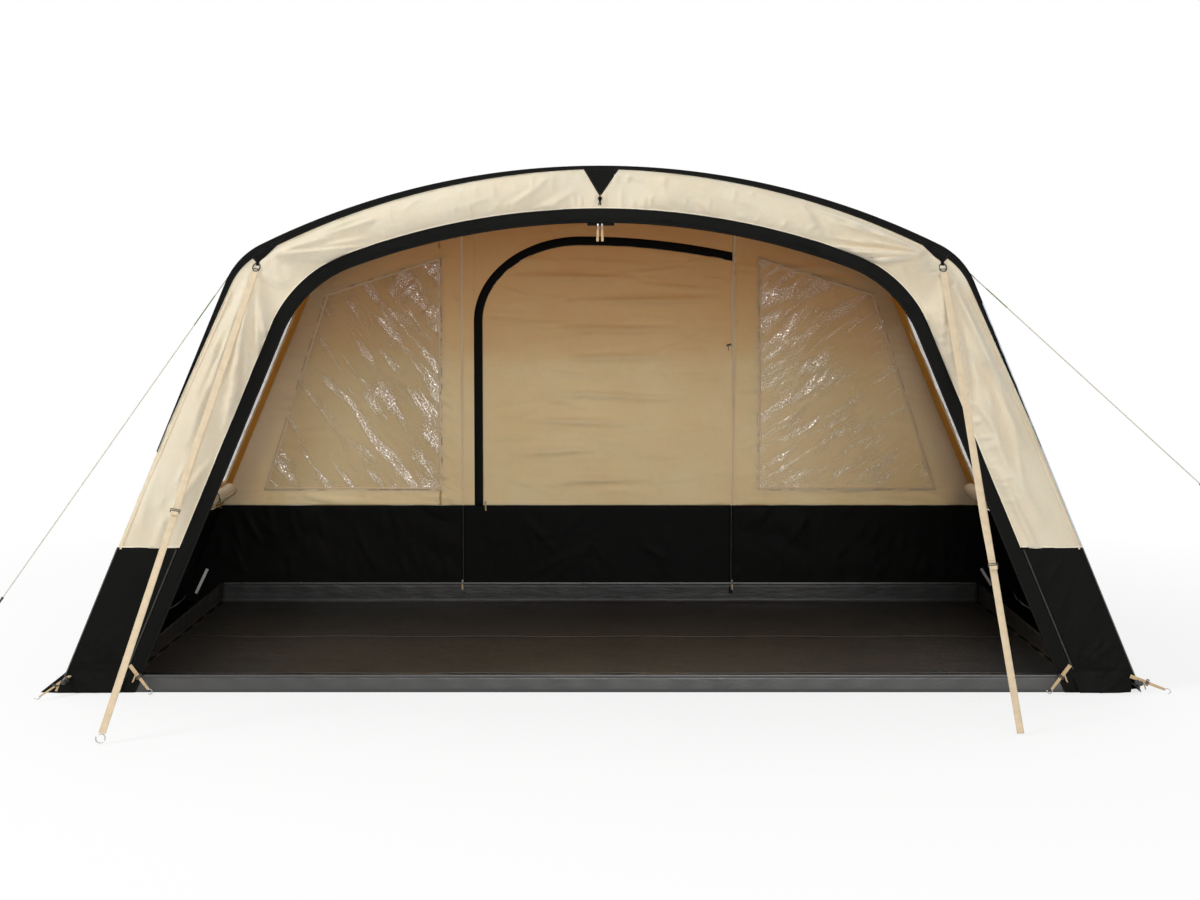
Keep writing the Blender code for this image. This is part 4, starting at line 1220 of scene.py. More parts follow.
class TENT_OT_beams(bpy.types.Operator):
    """Air beams in their cloth sleeves, slightly puckered by the sleeve's seams"""

    bl_idname = "tent.beams"
    bl_label = "Air beams"

    def execute(self, context):
        arch, rng = outer_arch(), random()
        radius, skin, sides = shape().beam_diameter / 2, 0.0036, 28
        paces = (31, 53, 78, 111, 17)
        for word, y in (("front", front_plane() + skin + radius), ("rear", rear_plane() + 0.0026 + radius)):
            line, out = arch.line(arch.places(0.02), y, 0.09, radius + skin)
            run = lengths_along(line)
            rows, flats = [], []
            phase = rng.uniform(0, 2 * math.pi, 5)
            for n in range(sides + 1):
                angle = 2 * math.pi * n / sides
                bulge = sum(np.sin(run * pace + phase[k] + 2 * angle) for k, pace in enumerate(paces))
                seam = math.exp(-(((angle - 4.4) % (2 * math.pi) - math.pi) / 0.25) ** 2)
                r = radius * (0.985 + 0.003 * bulge - 0.01 * seam)
                direction = out * math.sin(angle) + np.array((0, 1, 0)) * math.cos(angle)
                rows.append(line + direction * r[:, None])
                flats.append(np.column_stack((run, np.full(len(run), radius * angle))))
            strips = Strips()
            strips.skin(rows, flats)
            strips.object(word + "_sleeve", "beam_sleeve", word + "_beam")
            for name, finish in ((word + "_valve", "grey_plastic"), (word + "_valve_cap", "plastic")):
                for slot in bpy.data.objects[name].material_slots:
                    slot.material = mat(finish)
        return {"FINISHED"}


# The front: face, strip, patches, band and mudwalls
deepest = -0.0015  # how far the front's cloth may lie behind its plane, clear of the beam's sleeve
leg_foot = 0.02
thread_lift = 0.0042  # how far the stitches of the black strips lie before the front's plane


def strip_share(places):
    """The share of the face's width that the black strip covers."""
    return np.interp(np.abs(places), (0, 1, 2, 2.3, 2.6, 3), (0.09, 0.23, 0.16, 0.12, 0.06, 0.03))


def strip_width_at(outer, places):
    """Width of the black strip: full on the roof, tapering down the legs."""
    near = np.abs(places)
    shoulder = 0.013 + 0.020 * np.clip(near, 0, 1) - 0.009 * np.clip(near - 1, 0, 1)
    height = outer.leg_top - np.clip(near - 2, 0, 1) * (outer.leg_top - 1.0)
    leg = 0.024 - 0.021 * np.clip((outer.leg_top - height) / (outer.leg_top - 1.1), 0, 1)
    return np.where(near <= 2, shoulder, leg)


def face_puff(places, share):
    """How far the front face stands proud, by place along the arch and share of its width."""
    start = strip_share(places)
    near = np.abs(places)
    roof = step_up(near, 0.05, 0.25) * (1 - step_up(near, 0.74, 0.95))
    leg = step_up(near, 1.95, 2.4) * (1 - 0.7 * step_up(near, 2.7, 3.0))
    along = np.where(near <= 1, roof, np.where(near >= 1.95, leg, 0))
    across = np.clip((share - start) / (0.97 - start), 0, 1)
    return cloth().puff * along * np.sin(math.pi * across) ** 0.65


def strewn_places(rng, low, high, count):
    return np.linspace(low, high, count) + rng.uniform(-0.02, 0.02, count)


def edge_creases(rng, outer, places, depths, width, height):
    """Creases from the roof's edge into the face, one at each place."""
    lines = []
    for place in places:
        ends = *outer.spot(place, 0, 0.02), *outer.spot(place, 0, rng.uniform(*depths))
        lines.append((*ends, rng.uniform(0.005, width), rng.uniform(*height)))
    return lines


def face_creases(rng, outer, opening):
    lines = []
    for side in (-1, 1):
        half = fan(rng, 14, np.array((1.37, 1.80)), 0.05, 0.48, (146, 188), 0.011, 0.034)
        half += fan(rng, 12, np.array((1.40, 1.76)), 0.06, 0.75, (-106, -62), 0.015, 0.034)
        half += fan(rng, 8, np.array((1.27, 1.66)), 0.02, 0.18, (20, 110), 0.008, 0.014)
        places = strewn_places(rng, 0.86, 2.25, 18)
        half += edge_creases(rng, outer, places, (0.07, 0.15), 0.010, (0.004, 0.010))
        for place in strewn_places(rng, 0.02, 2.9, 60):
            a = opening.spot(place, 0.62, -rng.uniform(0.03, 0.09))
            b = opening.spot(place + rng.uniform(-0.02, 0.02), 0.62, 0.01)
            half.append((*a, *b, rng.uniform(0.004, 0.010), rng.uniform(0.002, 0.008)))
        places = strewn_places(rng, 0.05, 0.95, 24)
        half += edge_creases(rng, outer, places, (0.05, 0.11), 0.011, (0.002, 0.007))
        half += hatch(rng, 26, (0.1, 1.2, 1.9, 2.1), 150, 12, 0.22, 0.010, 0.012)
        half += hatch(rng, 30, (1.45, 1.95, 0.7, 1.5), -67, 12, 0.55, 0.018, 0.018)
        steeper = 1.5 if side > 0 else 1.0  # the light falls along the right side's folds
        for x, z, end_x, end_z, width, height in half:
            lines.append((side * x, z, side * end_x, end_z, width, height * steeper))
    return lines


class TENT_OT_front_face(bpy.types.Operator):
    """The puckered face between the roof's edge and the opening, with its seams"""

    bl_idname = "tent.front_face"
    bl_label = "Front face"

    def execute(self, context):
        outer, opening, rng = outer_arch(), opening_arch(), random()
        foot, rows = shape().front_mudwall, 26
        places = outer.places(cloth().fine_step * 0.9, foot)
        low = outer.at(places, foot, 0.002)[:, :2]
        high = opening.at(places, foot, 0.004)[:, :2]
        flat, faces = ruled(low, high, rows)
        share = np.repeat(np.linspace(0, 1, rows), len(places))
        relief = ridges(flat, face_creases(rng, outer, opening)) + swell(rng, flat, 0.35, 0.0015)
        relief = np.maximum(relief, deepest)
        every = np.tile(places, rows)
        relief *= step_up(share - strip_share(every), 0, 0.12) * (1 - step_up(share, 0.9, 1.0))
        relief += face_puff(every, share)
        size = (float(lengths_along((low + high) / 2)[-1]), float(np.linalg.norm(high - low, axis=1).mean()))
        front_sheet("face_cloth", "front_face", flat, faces, relief, both_faces, size=size)
        self.seams(outer, opening, foot)
        self.piping(outer, opening, foot)
        return {"FINISHED"}

    def seams(self, outer, opening, foot):
        strips, stitched = Strips(), []
        depth = front_plane() - 0.0025
        for side in (-1, 1):
            a = np.array((side * 1.378, 1.758))
            flat = stretch(a, opening.spot(side * 1.15, 0, -0.002) - a, 16)
            line = rows_of(flat[:, 0], depth, flat[:, 1])
            run = (line[-1] - line[0]) / np.linalg.norm(line[-1] - line[0])
            strips.ribbon(line, np.cross(run, inwards), outwards, 0.010, 0.0016)
            stitched.append(line)
            places = np.linspace(2.02, 3.0, 60)
            inset = strip_width_at(outer, places) + 0.012
            line, out = outer.line(side * places, depth, foot, inset)
            line[:, 1] -= face_puff(places, inset / (outer.leg(line[:, 2]) - opening.leg(line[:, 2])))
            strips.ribbon(line, out, outwards, 0.008, 0.0018)
            stitched.append(line)
        strips.object("face_seams", "tan_outside")
        stitches("face_stitches", [line + np.array((0, -0.0022, 0)) for line in stitched])

    def piping(self, outer, opening, foot):
        # The cream tube along the opening's edge is a pale line for the bright edge seen there: its light
        # colour is painted highlight. The tubes across the foot are the face's hem.
        piping = Strips()
        edge, _ = opening.line(opening.places(0.012, foot), front_plane() - 0.0034, foot, -0.0012)
        piping.tube(edge, 0.0021)
        share = np.linspace(0.02, 0.98, 24)
        start, end = outer.leg(foot), opening.leg(foot)
        hem_y = front_plane() - face_puff(np.full(24, 3.0), share) - 0.002
        for side in (-1, 1):
            piping.tube(rows_of(side * (start + (end - start) * share), hem_y, foot + 0.003), 0.0022)
        piping.object("face_piping", "cream_piping_painted_highlight")


class TENT_OT_edge_strip(bpy.types.Operator):
    """The black strip along the roof's edge, wrapped over its rim"""

    bl_idname = "tent.edge_strip"
    bl_label = "Edge strip"

    def execute(self, context):
        outer, front = outer_arch(), front_plane()
        places = outer.places(0.012, 1.0)
        width = strip_width_at(outer, places)
        run = lengths_along(outer.at(places, 1.0)[:, :2])
        ripple = 0.0012 * np.sin(run * 41) * np.sin(run * 13) + 0.0008 * np.sin(run * 97)
        points, flats = [], []
        for n, (y, depth, share) in enumerate((
            (0.035, -0.0006, 0.0), (0.015, -0.0012, 0.0), (-0.0005, -0.001, 0.0), (-0.0028, 0.001, 0.1),
            (-0.0034, 0.0, 0.5), (-0.003, 0.0, 0.85), (-0.0022, 0.0, 1.0),
        )):
            points.append(outer.line(places, front + y - ripple * (share > 0), 1.0, depth + share * width)[0])
            flats.append(np.column_stack((run, np.full(len(run), n * 0.008))))
        faces, flat = grid_faces(len(points), len(places)), np.concatenate(flats)
        points = np.concatenate(points)
        sheet_of("edge_trim", "roof_edge_strip", points, faces, flat, (0, -1, 0.3), canvas_face, lining_wall)
        line, _ = outer.line(places, front - thread_lift, 1.0, width - 0.004)
        stitches("edge_stitches", [line[np.abs(places) < 2.3]], "black_thread", 0.0005)
        seam = 2 + (outer.leg_top - shape().front_mudwall) / (outer.leg_top - leg_foot)
        # The pale tube on the right leg stands in for the side window's edge seen edge-on beyond the leg, in
        # the white-blue of its highlight: painted highlight. The grey tubes are the mudwalls' piping.
        for name, side, ends, finish in (
            ("leg_piping_left", -1, (seam, 3.0), "grey_plastic"),
            ("leg_piping_right", 1, (seam, 3.0), "grey_plastic"),
            ("leg_painted_highlight_right", 1, (2.05, seam), "pale_painted_highlight"),
        ):
            piping = Strips()
            piping.tube(outer.line(side * np.linspace(*ends, 60), front - 0.001, leg_foot, 0.0005)[0], 0.0026)
            piping.object(name, finish)
        return {"FINISHED"}


patch_lift = 0.0026
middle_patch = ((0.077, 2.147), (0.0, 2.150), (-0.067, 2.148), (-0.006, 2.045), (0.007, 2.045))


class TENT_OT_patches(bpy.types.Operator):
    """Black patches below the strip, and the knotted tail of the middle one"""

    bl_idname = "tent.patches"
    bl_label = "Patches"

    def execute(self, context):
        rng = random()
        self.patch(rng, "middle_patch", "patch_centre", middle_patch)
        x, z, out_x, out_z = outer_arch().at(np.array([1.0]))[0]
        start = np.array((x - out_x * 0.0165, z - out_z * 0.0165))
        back = np.array((-out_z, out_x))
        for word, side in tent_sides:
            corners = [start + back * 0.11, start - back * 0.06, (1.3945, 1.7683), (1.3855, 1.7683)]
            self.patch(rng, "shoulder_patch_" + word, "patch_" + word, [(side * x, z) for x, z in corners])
            tab = Strips()
            steps = np.arange(6)
            line = rows_of(side * 1.39, front_plane() - thread_lift - 0.0008 * steps, 1.785 - 0.0055 * steps)
            tab.ribbon(line, sideways, outwards, 0.013, 0.0012)
            tab.object("shoulder_tab_" + word, "black_webbing")
        self.tail()
        return {"FINISHED"}

    def patch(self, rng, name, node, outline):
        outline = np.array(outline)
        flat, faces = cut(outline, [], 0.005)
        (left, low), (right, high) = outline.min(axis=0), outline.max(axis=0)
        lines = hatch(rng, 10, (left, right, low, high), 80, 30, 0.06, 0.004, 0.0015)
        relief = patch_lift + np.abs(ridges(flat, lines))
        front_sheet(name, node, flat, faces, relief, canvas_face, canvas_wall)
        centre = outline.mean(axis=0)
        inner = centre + (outline - centre) * 0.88
        x, z = np.vstack((inner, inner[:1])).T
        line = rows_of(x, front_plane() - patch_lift - 0.0006, z)
        bars(name + "_stitches", [line], 0.006, 0.0038, 0.0005, "black_thread")

    def tail(self):
        """A knot with two short ends, hanging from the middle patch."""
        strips = Strips()
        turn = np.linspace(0, 2 * math.pi, 90)
        across, up = np.sin(turn) + 2 * np.sin(2 * turn), np.cos(turn) - 2 * np.cos(2 * turn)
        knot = rows_of(across, -np.sin(3 * turn), up)
        centre = np.array((0.0, front_plane() - 0.0113, 2.026))
        strips.tube(centre + knot * np.array((0.0024, 0.0022, 0.0030)), 0.0024)
        top = np.array((0.0, front_plane() - 0.0045, 2.044))
        strips.tube(stretch(top, centre - top, 8), 0.0028)
        for x in (-0.005, 0.004):
            strips.tube(stretch(centre + np.array((0, 0, -0.004)), (x, 0.001, -0.0215), 10), 0.0024)
        strips.object("knotted_tail", "black_webbing", "centre_toggle", "centre_toggle")


class TENT_OT_opening_band(bpy.types.Operator):
    """The black cover strip round the opening, its zips on the legs and the two pulls at the top"""

    bl_idname = "tent.opening_band"
    bl_label = "Opening band"

    def execute(self, context):
        arch, rng = opening_arch(), random()
        places = arch.places(cloth().fine_step * 1.1)
        width, drop, foot, rows = shape().band_width, math.sin(arch.lean), 0.001, 14
        low = arch.at(places, foot, gap)[:, :2]
        flat, faces = ruled(low, arch.at(places, foot + width * drop, width)[:, :2], rows)
        share = np.repeat(np.linspace(0, 1, rows), len(places))
        lines = []
        for side in (-1, 1):
            for _ in range(46):
                place = side * rng.uniform(0.05, 2.95)
                depth = rng.uniform(0.008, 0.052)
                end = place + side * rng.uniform(0.03, 0.10)
                shift = arch.at(np.array([place]), foot, 0)[0, 2:] * rng.uniform(-0.012, 0.012)
                ends = *arch.spot(place, foot, depth), *(arch.spot(end, foot, depth) + shift)
                lines.append((*ends, rng.uniform(0.003, 0.006), rng.uniform(0.001, 0.004)))
        relief = 0.0008 + ridges(flat, lines) + 0.004 * np.sin(math.pi * share) ** 0.6
        cut_flat = np.column_stack((np.tile(lengths_along(low), rows), share * width))
        front_sheet("band_cloth", "opening_band", flat, faces, relief, canvas_face, canvas_wall, cut_flat)
        y, depths = front_plane() - thread_lift, (0.004, 0.055)
        edges = [arch.line(places, y, 0.002 + depth * drop, depth)[0] for depth in depths]
        stitches("band_stitches", edges, "black_thread", 0.0005)
        self.leg_zips(arch)
        self.pulls()
        return {"FINISHED"}

    def leg_zips(self, arch):
        teeth, tapes = [], Strips()
        zs = np.linspace(shape().front_mudwall - 0.01, 0.10, 60)
        for side in (-1, 1):
            line = rows_of(side * arch.leg(zs, -0.008), front_plane() - 0.0048, zs)
            teeth.append(line)
            across = np.array((math.cos(arch.lean), 0, side * math.sin(arch.lean)))
            tapes.ribbon(line + np.array((0, 0.002, 0)), across, outwards, 0.020, 0.0012)
        tapes.object("leg_zip_tapes", "black_webbing")
        zip_teeth("leg_zip_teeth", teeth, 0.006, 0.0011)

    def pulls(self):
        top, front = 1.929, front_plane()
        widths = np.array((5, 7, 9, 9, 9, 9, 10, 11, 11, 9)) * 0.001
        slider_radii = np.array((0.003, 0.0048, 0.005, 0.0046, 0.004, 0.0028))
        for word, side in tent_sides:
            tape, metal = Strips(), Strips()
            x = side * 0.0084
            body = "front_pull_" + word
            metal.tube(rows_of(x, front + 0.0015, top - 0.001 - 0.003 * np.arange(6)), slider_radii, 10)
            centre = np.array((x, front - 0.0005, top - 0.021))
            metal.tube(oval_line(centre, np.array(sideways), np.array(upwards), 0.0036, 0.006, 20), 0.0009, 6)
            steps = np.arange(10)
            line = rows_of(x + side * 0.0015 * steps / 9, front - 0.0005, top - 0.024 - 0.0055 * steps)
            tape.ribbon(line, sideways, outwards, widths, 0.0018)
            metal.object("front_slider_" + word, "metal", body=body)
            tape.object("pull_tape_" + word, "beige_webbing", body, body)
        tab = Strips()
        tab_line = rows_of(np.linspace(-0.052, 0.058, 12), front + 0.0035, 1.926)
        tab.ribbon(tab_line, upwards, outwards, 0.014, 0.0016)
        tab.object("band_tab", "black_canvas")


valance_spread = {"left": 0.075, "right": -0.045}
valance_seam = 0.088


class TENT_OT_front_mudwalls(bpy.types.Operator):
    """Wrinkled black mudwalls at the foot of the front face, with their ground edge"""

    bl_idname = "tent.front_mudwalls"
    bl_label = "Front mudwalls"

    def execute(self, context):
        outer, opening, rng = outer_arch(), opening_arch(), random()
        foot, top = 0.0015, shape().front_mudwall + 0.002
        strap_corner = np.array((2.19, valance_seam))
        for word, side in tent_sides:
            outline = [(outer.leg(z), z) for z in (foot, top)]
            outline += [(opening.leg(z, 0.004), z) for z in (top, foot)]
            flat, faces = cut(outline, [], cloth().fine_step)
            lines = hatch(rng, 34, (1.75, 2.2, 0.1, 0.6), 80, 25, 0.28, 0.010, 0.006)
            lines += hatch(rng, 20, (1.85, 2.2, 0.02, 0.16), 20, 50, 0.12, 0.007, 0.005)
            lines += fan(rng, 6, np.array((1.95, 0.08)), 0.02, 0.3, (35, 100), 0.008, 0.007)
            lines += fan(rng, 7, strap_corner, 0.01, 0.22, (95, 178), 0.006, 0.008)
            lines += fan(rng, 5, strap_corner, 0.01, 0.16, (182, 235), 0.006, 0.008)
            lines.append((1.90, valance_seam, 2.24, 0.092, 0.004, -0.008))
            relief = np.maximum(ridges(flat, lines) + swell(rng, flat, 0.3, 0.003), deepest)
            x, z = flat.T
            share = (outer.leg(z) - x) / (outer.leg(z) - opening.leg(z))
            clipped = np.clip(share, 0, 1)
            relief *= arc_share(share, 3)
            relief += 0.3 * cloth().puff * np.sin(math.pi * clipped) ** 0.65 * step_up(z, 0.1, 0.6)
            low_share = np.clip((valance_seam - z) / valance_seam, 0, 1)
            relief += 0.016 * low_share * np.clip(share * 4, 0, 1)
            drawn = np.column_stack((side * (x + valance_spread[word] * low_share * (1 - clipped)), z))
            node = "front_mudwall_" + word
            front_sheet("front_skirt_" + word, node, drawn, faces, relief, canvas_face, flat=flat)
        return {"FINISHED"}


# The rear wall
left_seam, right_seam = -0.73, 0.70
door_left, door_corner, door_peak_place = -0.664, 1.50, -0.10
door_peak, door_end, zip_band = 1.945, 1.861, 0.043
door_gap = 0.0006
rear_window = [(0.85, 0.615), (1.78, 0.615), (1.44, 1.64), (0.85, 1.83)]
rear_sides = (("left", -1, -left_seam), ("right", 1, right_seam))


def roof_edge(low_x, high_x):
    """Points of the roof's inner line between two places across."""
    xs = np.linspace(low_x, high_x, 9)
    return np.column_stack((xs, outer_arch().roof(xs, inner_line)))


def wall_tape(strips, flat, depth, width=0.020, rise=0.0014):
    """A tape or folded seam on the room side of the rear wall; gives the line for its stitches."""
    line = rows_of(flat[:, 0], rear_plane() - depth, flat[:, 1])
    run = np.gradient(line, axis=0)
    run /= np.linalg.norm(run, axis=1)[:, None]
    strips.ribbon(line, np.cross(run, inwards), outwards, width, rise)
    return line + np.array((0, -rise - 0.0004, 0))


class TENT_OT_rear_panels(bpy.types.Operator):
    """Rear panels with their clear windows, tapes and closed covers behind"""

    bl_idname = "tent.rear_panels"
    bl_label = "Rear panels"

    def execute(self, context):
        rng, arch = random(), outer_arch()
        low = shape().rear_mudwall + gap
        fillet = arch.at(np.linspace(1.0, 2.0, 5), 0, inner_line)[:, :2]
        for word, side, seam in rear_sides:
            outline = [(seam, low), *roof_edge(seam, fillet[0][0] - 0.01), *fillet]
            outline.append((arch.leg(low, inner_line), low))
            flat, faces = cut(outline, [rear_window], 0.012)
            lines = hatches(
                rng,
                (70, (seam, 1.7, low, 1.95), 0, 8, 0.40, 0.012, 0.015),
                (34, (seam, 0.86, low, 1.95), 38, 10, 0.2, 0.011, 0.012),
                (30, (seam, 1.9, low, low + 0.09), 4, 14, 0.3, 0.005, 0.004),
            )
            lines += corner_fans(rng, rear_window, (1.2, 1.2), 0.012, 0.2, 45, 0.006, 0.005)
            relief = np.abs(ridges(flat, lines) + swell(rng, flat, 0.4, 0.002))
            relief *= step_up(flat[:, 0], seam, seam + 0.03)
            node = "rear_panel_" + word
            rear_sheet("rear_cloth_" + word, node, flat * (side, 1), faces, relief, both_faces)
            self.window(rng, word, side)
            tapes, stitched = Strips(), []
            loop = np.array([*rear_window, rear_window[0]]) * (side, 1)
            for a, b in zip(loop, loop[1:]):
                stitched.append(wall_tape(tapes, stretch(a, b - a, 60), 0.0048, 0.009))
            beside = seam + (0.012 if side > 0 else 0)  # clear of the door's hinge line
            heights = np.linspace(low, arch.roof(seam) - 0.01, 120)
            seam_line = np.column_stack((np.full(120, side * beside), heights))
            stitched.append(wall_tape(tapes, seam_line, 0.0034, 0.013, 0.0018))
            tapes.object("rear_tapes_" + word, "tan_tape")
            stitches("rear_stitches_" + word, stitched)
        return {"FINISHED"}

    def window(self, rng, word, side):
        box = (0.86, 1.75, 0.62, 1.8)
        flat, faces = cut(self.spread(0.012), [], 0.009)
        slant = 52 * side
        lines = hatch(rng, 150, box, slant, 16, 0.16, 0.0035, 0.0035)
        lines += hatch(rng, 60, (0.86, 1.25, 0.7, 1.8), slant, 10, 0.35, 0.005, 0.005)
        relief = 0.0012 + np.abs(ridges(flat, lines))
        name = "rear_film_" + word
        rear_sheet(name, "rear_window_" + word, flat * (side, 1), faces, relief, (name,), -0.0016, 0.0006)
        flat, faces = cut(self.spread(0.02), [], 0.016)
        lines = hatch(rng, 26, box, 10, 25, 0.4, 0.012, 0.004)
        relief = -np.abs(ridges(flat, lines) + swell(rng, flat, 0.5, 0.002))
        node = "rear_cover_" + word
        rear_sheet("window_cover_" + word, node, flat * (side, 1), faces, relief, both_faces, 0.0025)

    def spread(self, lap):
        return [(x + dx, z + dz) for (x, z), (dx, dz) in zip(rear_window, rectangle(-lap, lap, -lap, lap))]


def door_line(shift):
    """The door's left side, rounded corner and falling lintel, moved inwards by a shift."""
    wide, tall = door_peak_place - door_left - shift, door_peak - door_corner - shift
    low = shape().rear_mudwall + door_gap
    side = [(door_left + shift, z) for z in np.linspace(low, door_corner, 80, endpoint=False)]
    turn = np.linspace(0, math.pi / 2, 50)
    corner = list(zip(door_peak_place - wide * np.cos(turn), door_corner + tall * np.sin(turn)))
    share = np.linspace(0, 1, 60)[1:]
    x = door_peak_place + (right_seam - door_gap - door_peak_place) * share
    lintel = list(zip(x, door_peak - shift - (door_peak - door_end) * share**2))
    return np.array(side + corner + lintel)


class TENT_OT_rear_door(bpy.types.Operator):
    """The rear door with its black zip band, the cloth round it and the slider"""

    bl_idname = "tent.rear_door"
    bl_label = "Rear door"

    def execute(self, context):
        rng = random()
        low = shape().rear_mudwall + gap
        outline = [(left_seam, low), *roof_edge(left_seam, right_seam), (right_seam, low)]
        below = [(0.72, door_end - 0.004), (0.72, low - 0.02), (door_left, low - 0.02)]
        flat, faces = cut(outline, [np.vstack((door_line(0.0)[::3], below))], cloth().fine_step)
        lines = hatches(
            rng,
            (30, (left_seam, door_left, low, 1.6), 8, 18, 0.07, 0.004, 0.004),
            (40, (left_seam, right_seam, 1.85, 2.1), 85, 20, 0.14, 0.006, 0.005),
            (24, (left_seam, right_seam, 1.9, 2.12), 5, 12, 0.3, 0.008, 0.004),
        )
        x, rim = flat[:, 0], 0.02
        held = step_up(x, left_seam, left_seam + rim) * (1 - step_up(x, right_seam - rim, right_seam))
        relief = np.abs(ridges(flat, lines)) * held
        rear_sheet("door_frame_cloth", "door_surround", flat, faces, relief, both_faces)
        line, rows = door_line(-0.004), 10
        flat, faces = ruled(line, door_line(zip_band - 0.001), rows)
        share = np.repeat(np.linspace(0, 1, rows), len(line))
        lines = hatch(rng, 40, (door_left, 0.7, low, 1.95), 40, 50, 0.08, 0.004, 0.002)
        relief = 0.0042 + 0.0028 * np.sin(math.pi * share) ** 0.5 + np.abs(ridges(flat, lines))
        cut_flat = np.column_stack((np.tile(lengths_along(line), rows), share * (zip_band + 0.003)))
        points = rows_of(flat[:, 0], rear_plane() - relief, flat[:, 1])
        name, node = "door_band_cloth", "door_zip_band"
        sheet_of(name, node, points, faces, cut_flat, outwards, canvas_face, canvas_wall)
        self.leaf(rng, low)
        self.toggle()
        return {"FINISHED"}

    def leaf(self, rng, low):
        line = door_line(zip_band - 0.004)
        line = np.vstack((line[:1], line[79:129:2], line[129::6], line[-1:]))
        flat, faces = cut(np.vstack((line, [(right_seam - door_gap, low)])), [], cloth().fine_step)
        lines = hatch(rng, 90, (door_left, right_seam, low, 1.88), 0, 8, 0.40, 0.012, 0.015)
        for z in (0.66, 0.80, 0.98, 1.12, 1.30, 1.46, 1.60, 1.74):
            x = rng.uniform(-0.55, -0.1)
            reach = rng.uniform(0.5, 1.0)
            lines.append((x, z, min(x + reach, 0.68), z + rng.uniform(-0.03, 0.03), 0.018, 0.028))
        lines += hatch(rng, 40, (right_seam - 0.1, right_seam - 0.01, low, 1.8), 5, 16, 0.12, 0.004, 0.004)
        lines += hatch(rng, 30, (door_left + 0.05, door_left + 0.14, low, 1.6), -5, 16, 0.12, 0.004, 0.003)
        relief = np.abs(ridges(flat, lines)) + 0.5 * np.abs(swell(rng, flat, 0.3, 0.004))
        left = door_left + zip_band
        relief *= arc_share((flat[:, 0] - left) / (right_seam - left), 6)
        rear_sheet("door_cloth", "rear_door", flat, faces, relief, both_faces, body="rear_door")
        edge = door_line(zip_band - 0.002)
        teeth = rows_of(edge[:, 0], rear_plane() - 0.0068, edge[:, 1])
        zip_teeth("door_zip_teeth", [teeth], 0.0045, 0.0009, (0.7, 0, 0.7))
        slider("door_zip_slider", -0.6097, 0.540)

    def toggle(self):
        toggle = Strips()
        base = np.array((right_seam - 0.018, rear_plane() - 0.006, 1.378))
        toggle.tube(stretch(base, (0.012, 0, 0.004), 9, -1), 0.0045, 10)
        toggle.tube(stretch(base, (0.02, 0.002, -0.004), 9), 0.0015)
        toggle.tube(stretch(base, (-0.002, -0.001, -0.03), 9), 0.0015)
        toggle.object("door_toggle", "plastic")


def slider(body, x, z):
    """A zip slider of the rear wall with a bridge, a ring and a short tape."""
    centre = np.array((x, rear_plane() - 0.0058, z))
    metal, tape = Strips(), Strips()
    shares = np.linspace(-1, 1, 9)
    widths = 0.0105 - 0.002 * np.abs(shares)
    metal.ribbon(stretch(centre, (0, 0, 0.008), 9, -1), sideways, outwards, widths, 0.003)
    metal.tube(centre + rows_of(0 * shares, -0.0045 + 0.0025 * shares**2, 0.006 * shares), 0.0011, 6)
    ring_centre = centre + np.array((0, -0.0045, -0.008))
    ring = oval_line(ring_centre, np.array(sideways), np.array((0, -0.15, 1.0)), 0.0034, 0.0052, 20)
    metal.tube(ring, 0.0009, 6)
    line = stretch(centre + np.array((0, -0.005, -0.012)), (0.001, -0.001, -0.032), 9)
    tape.ribbon(line, sideways, outwards, np.array((5, 7, 8, 8, 8, 8, 9, 9, 8)) * 0.001, 0.0016)
    metal.object(body + "_metal", "metal", body, body)
    tape.object(body + "_tape", "beige_webbing", body=body)


# Slots for cables at the rear corners, each from a low end to a high end across and up
cable_slots = ((-2.162, 0.05, -2.098, 0.182), (2.094, 0.094, 2.036, 0.184))
above_rim = (0.09, 0.18)  # heights over which creases begin, clear of the groundsheet's rim


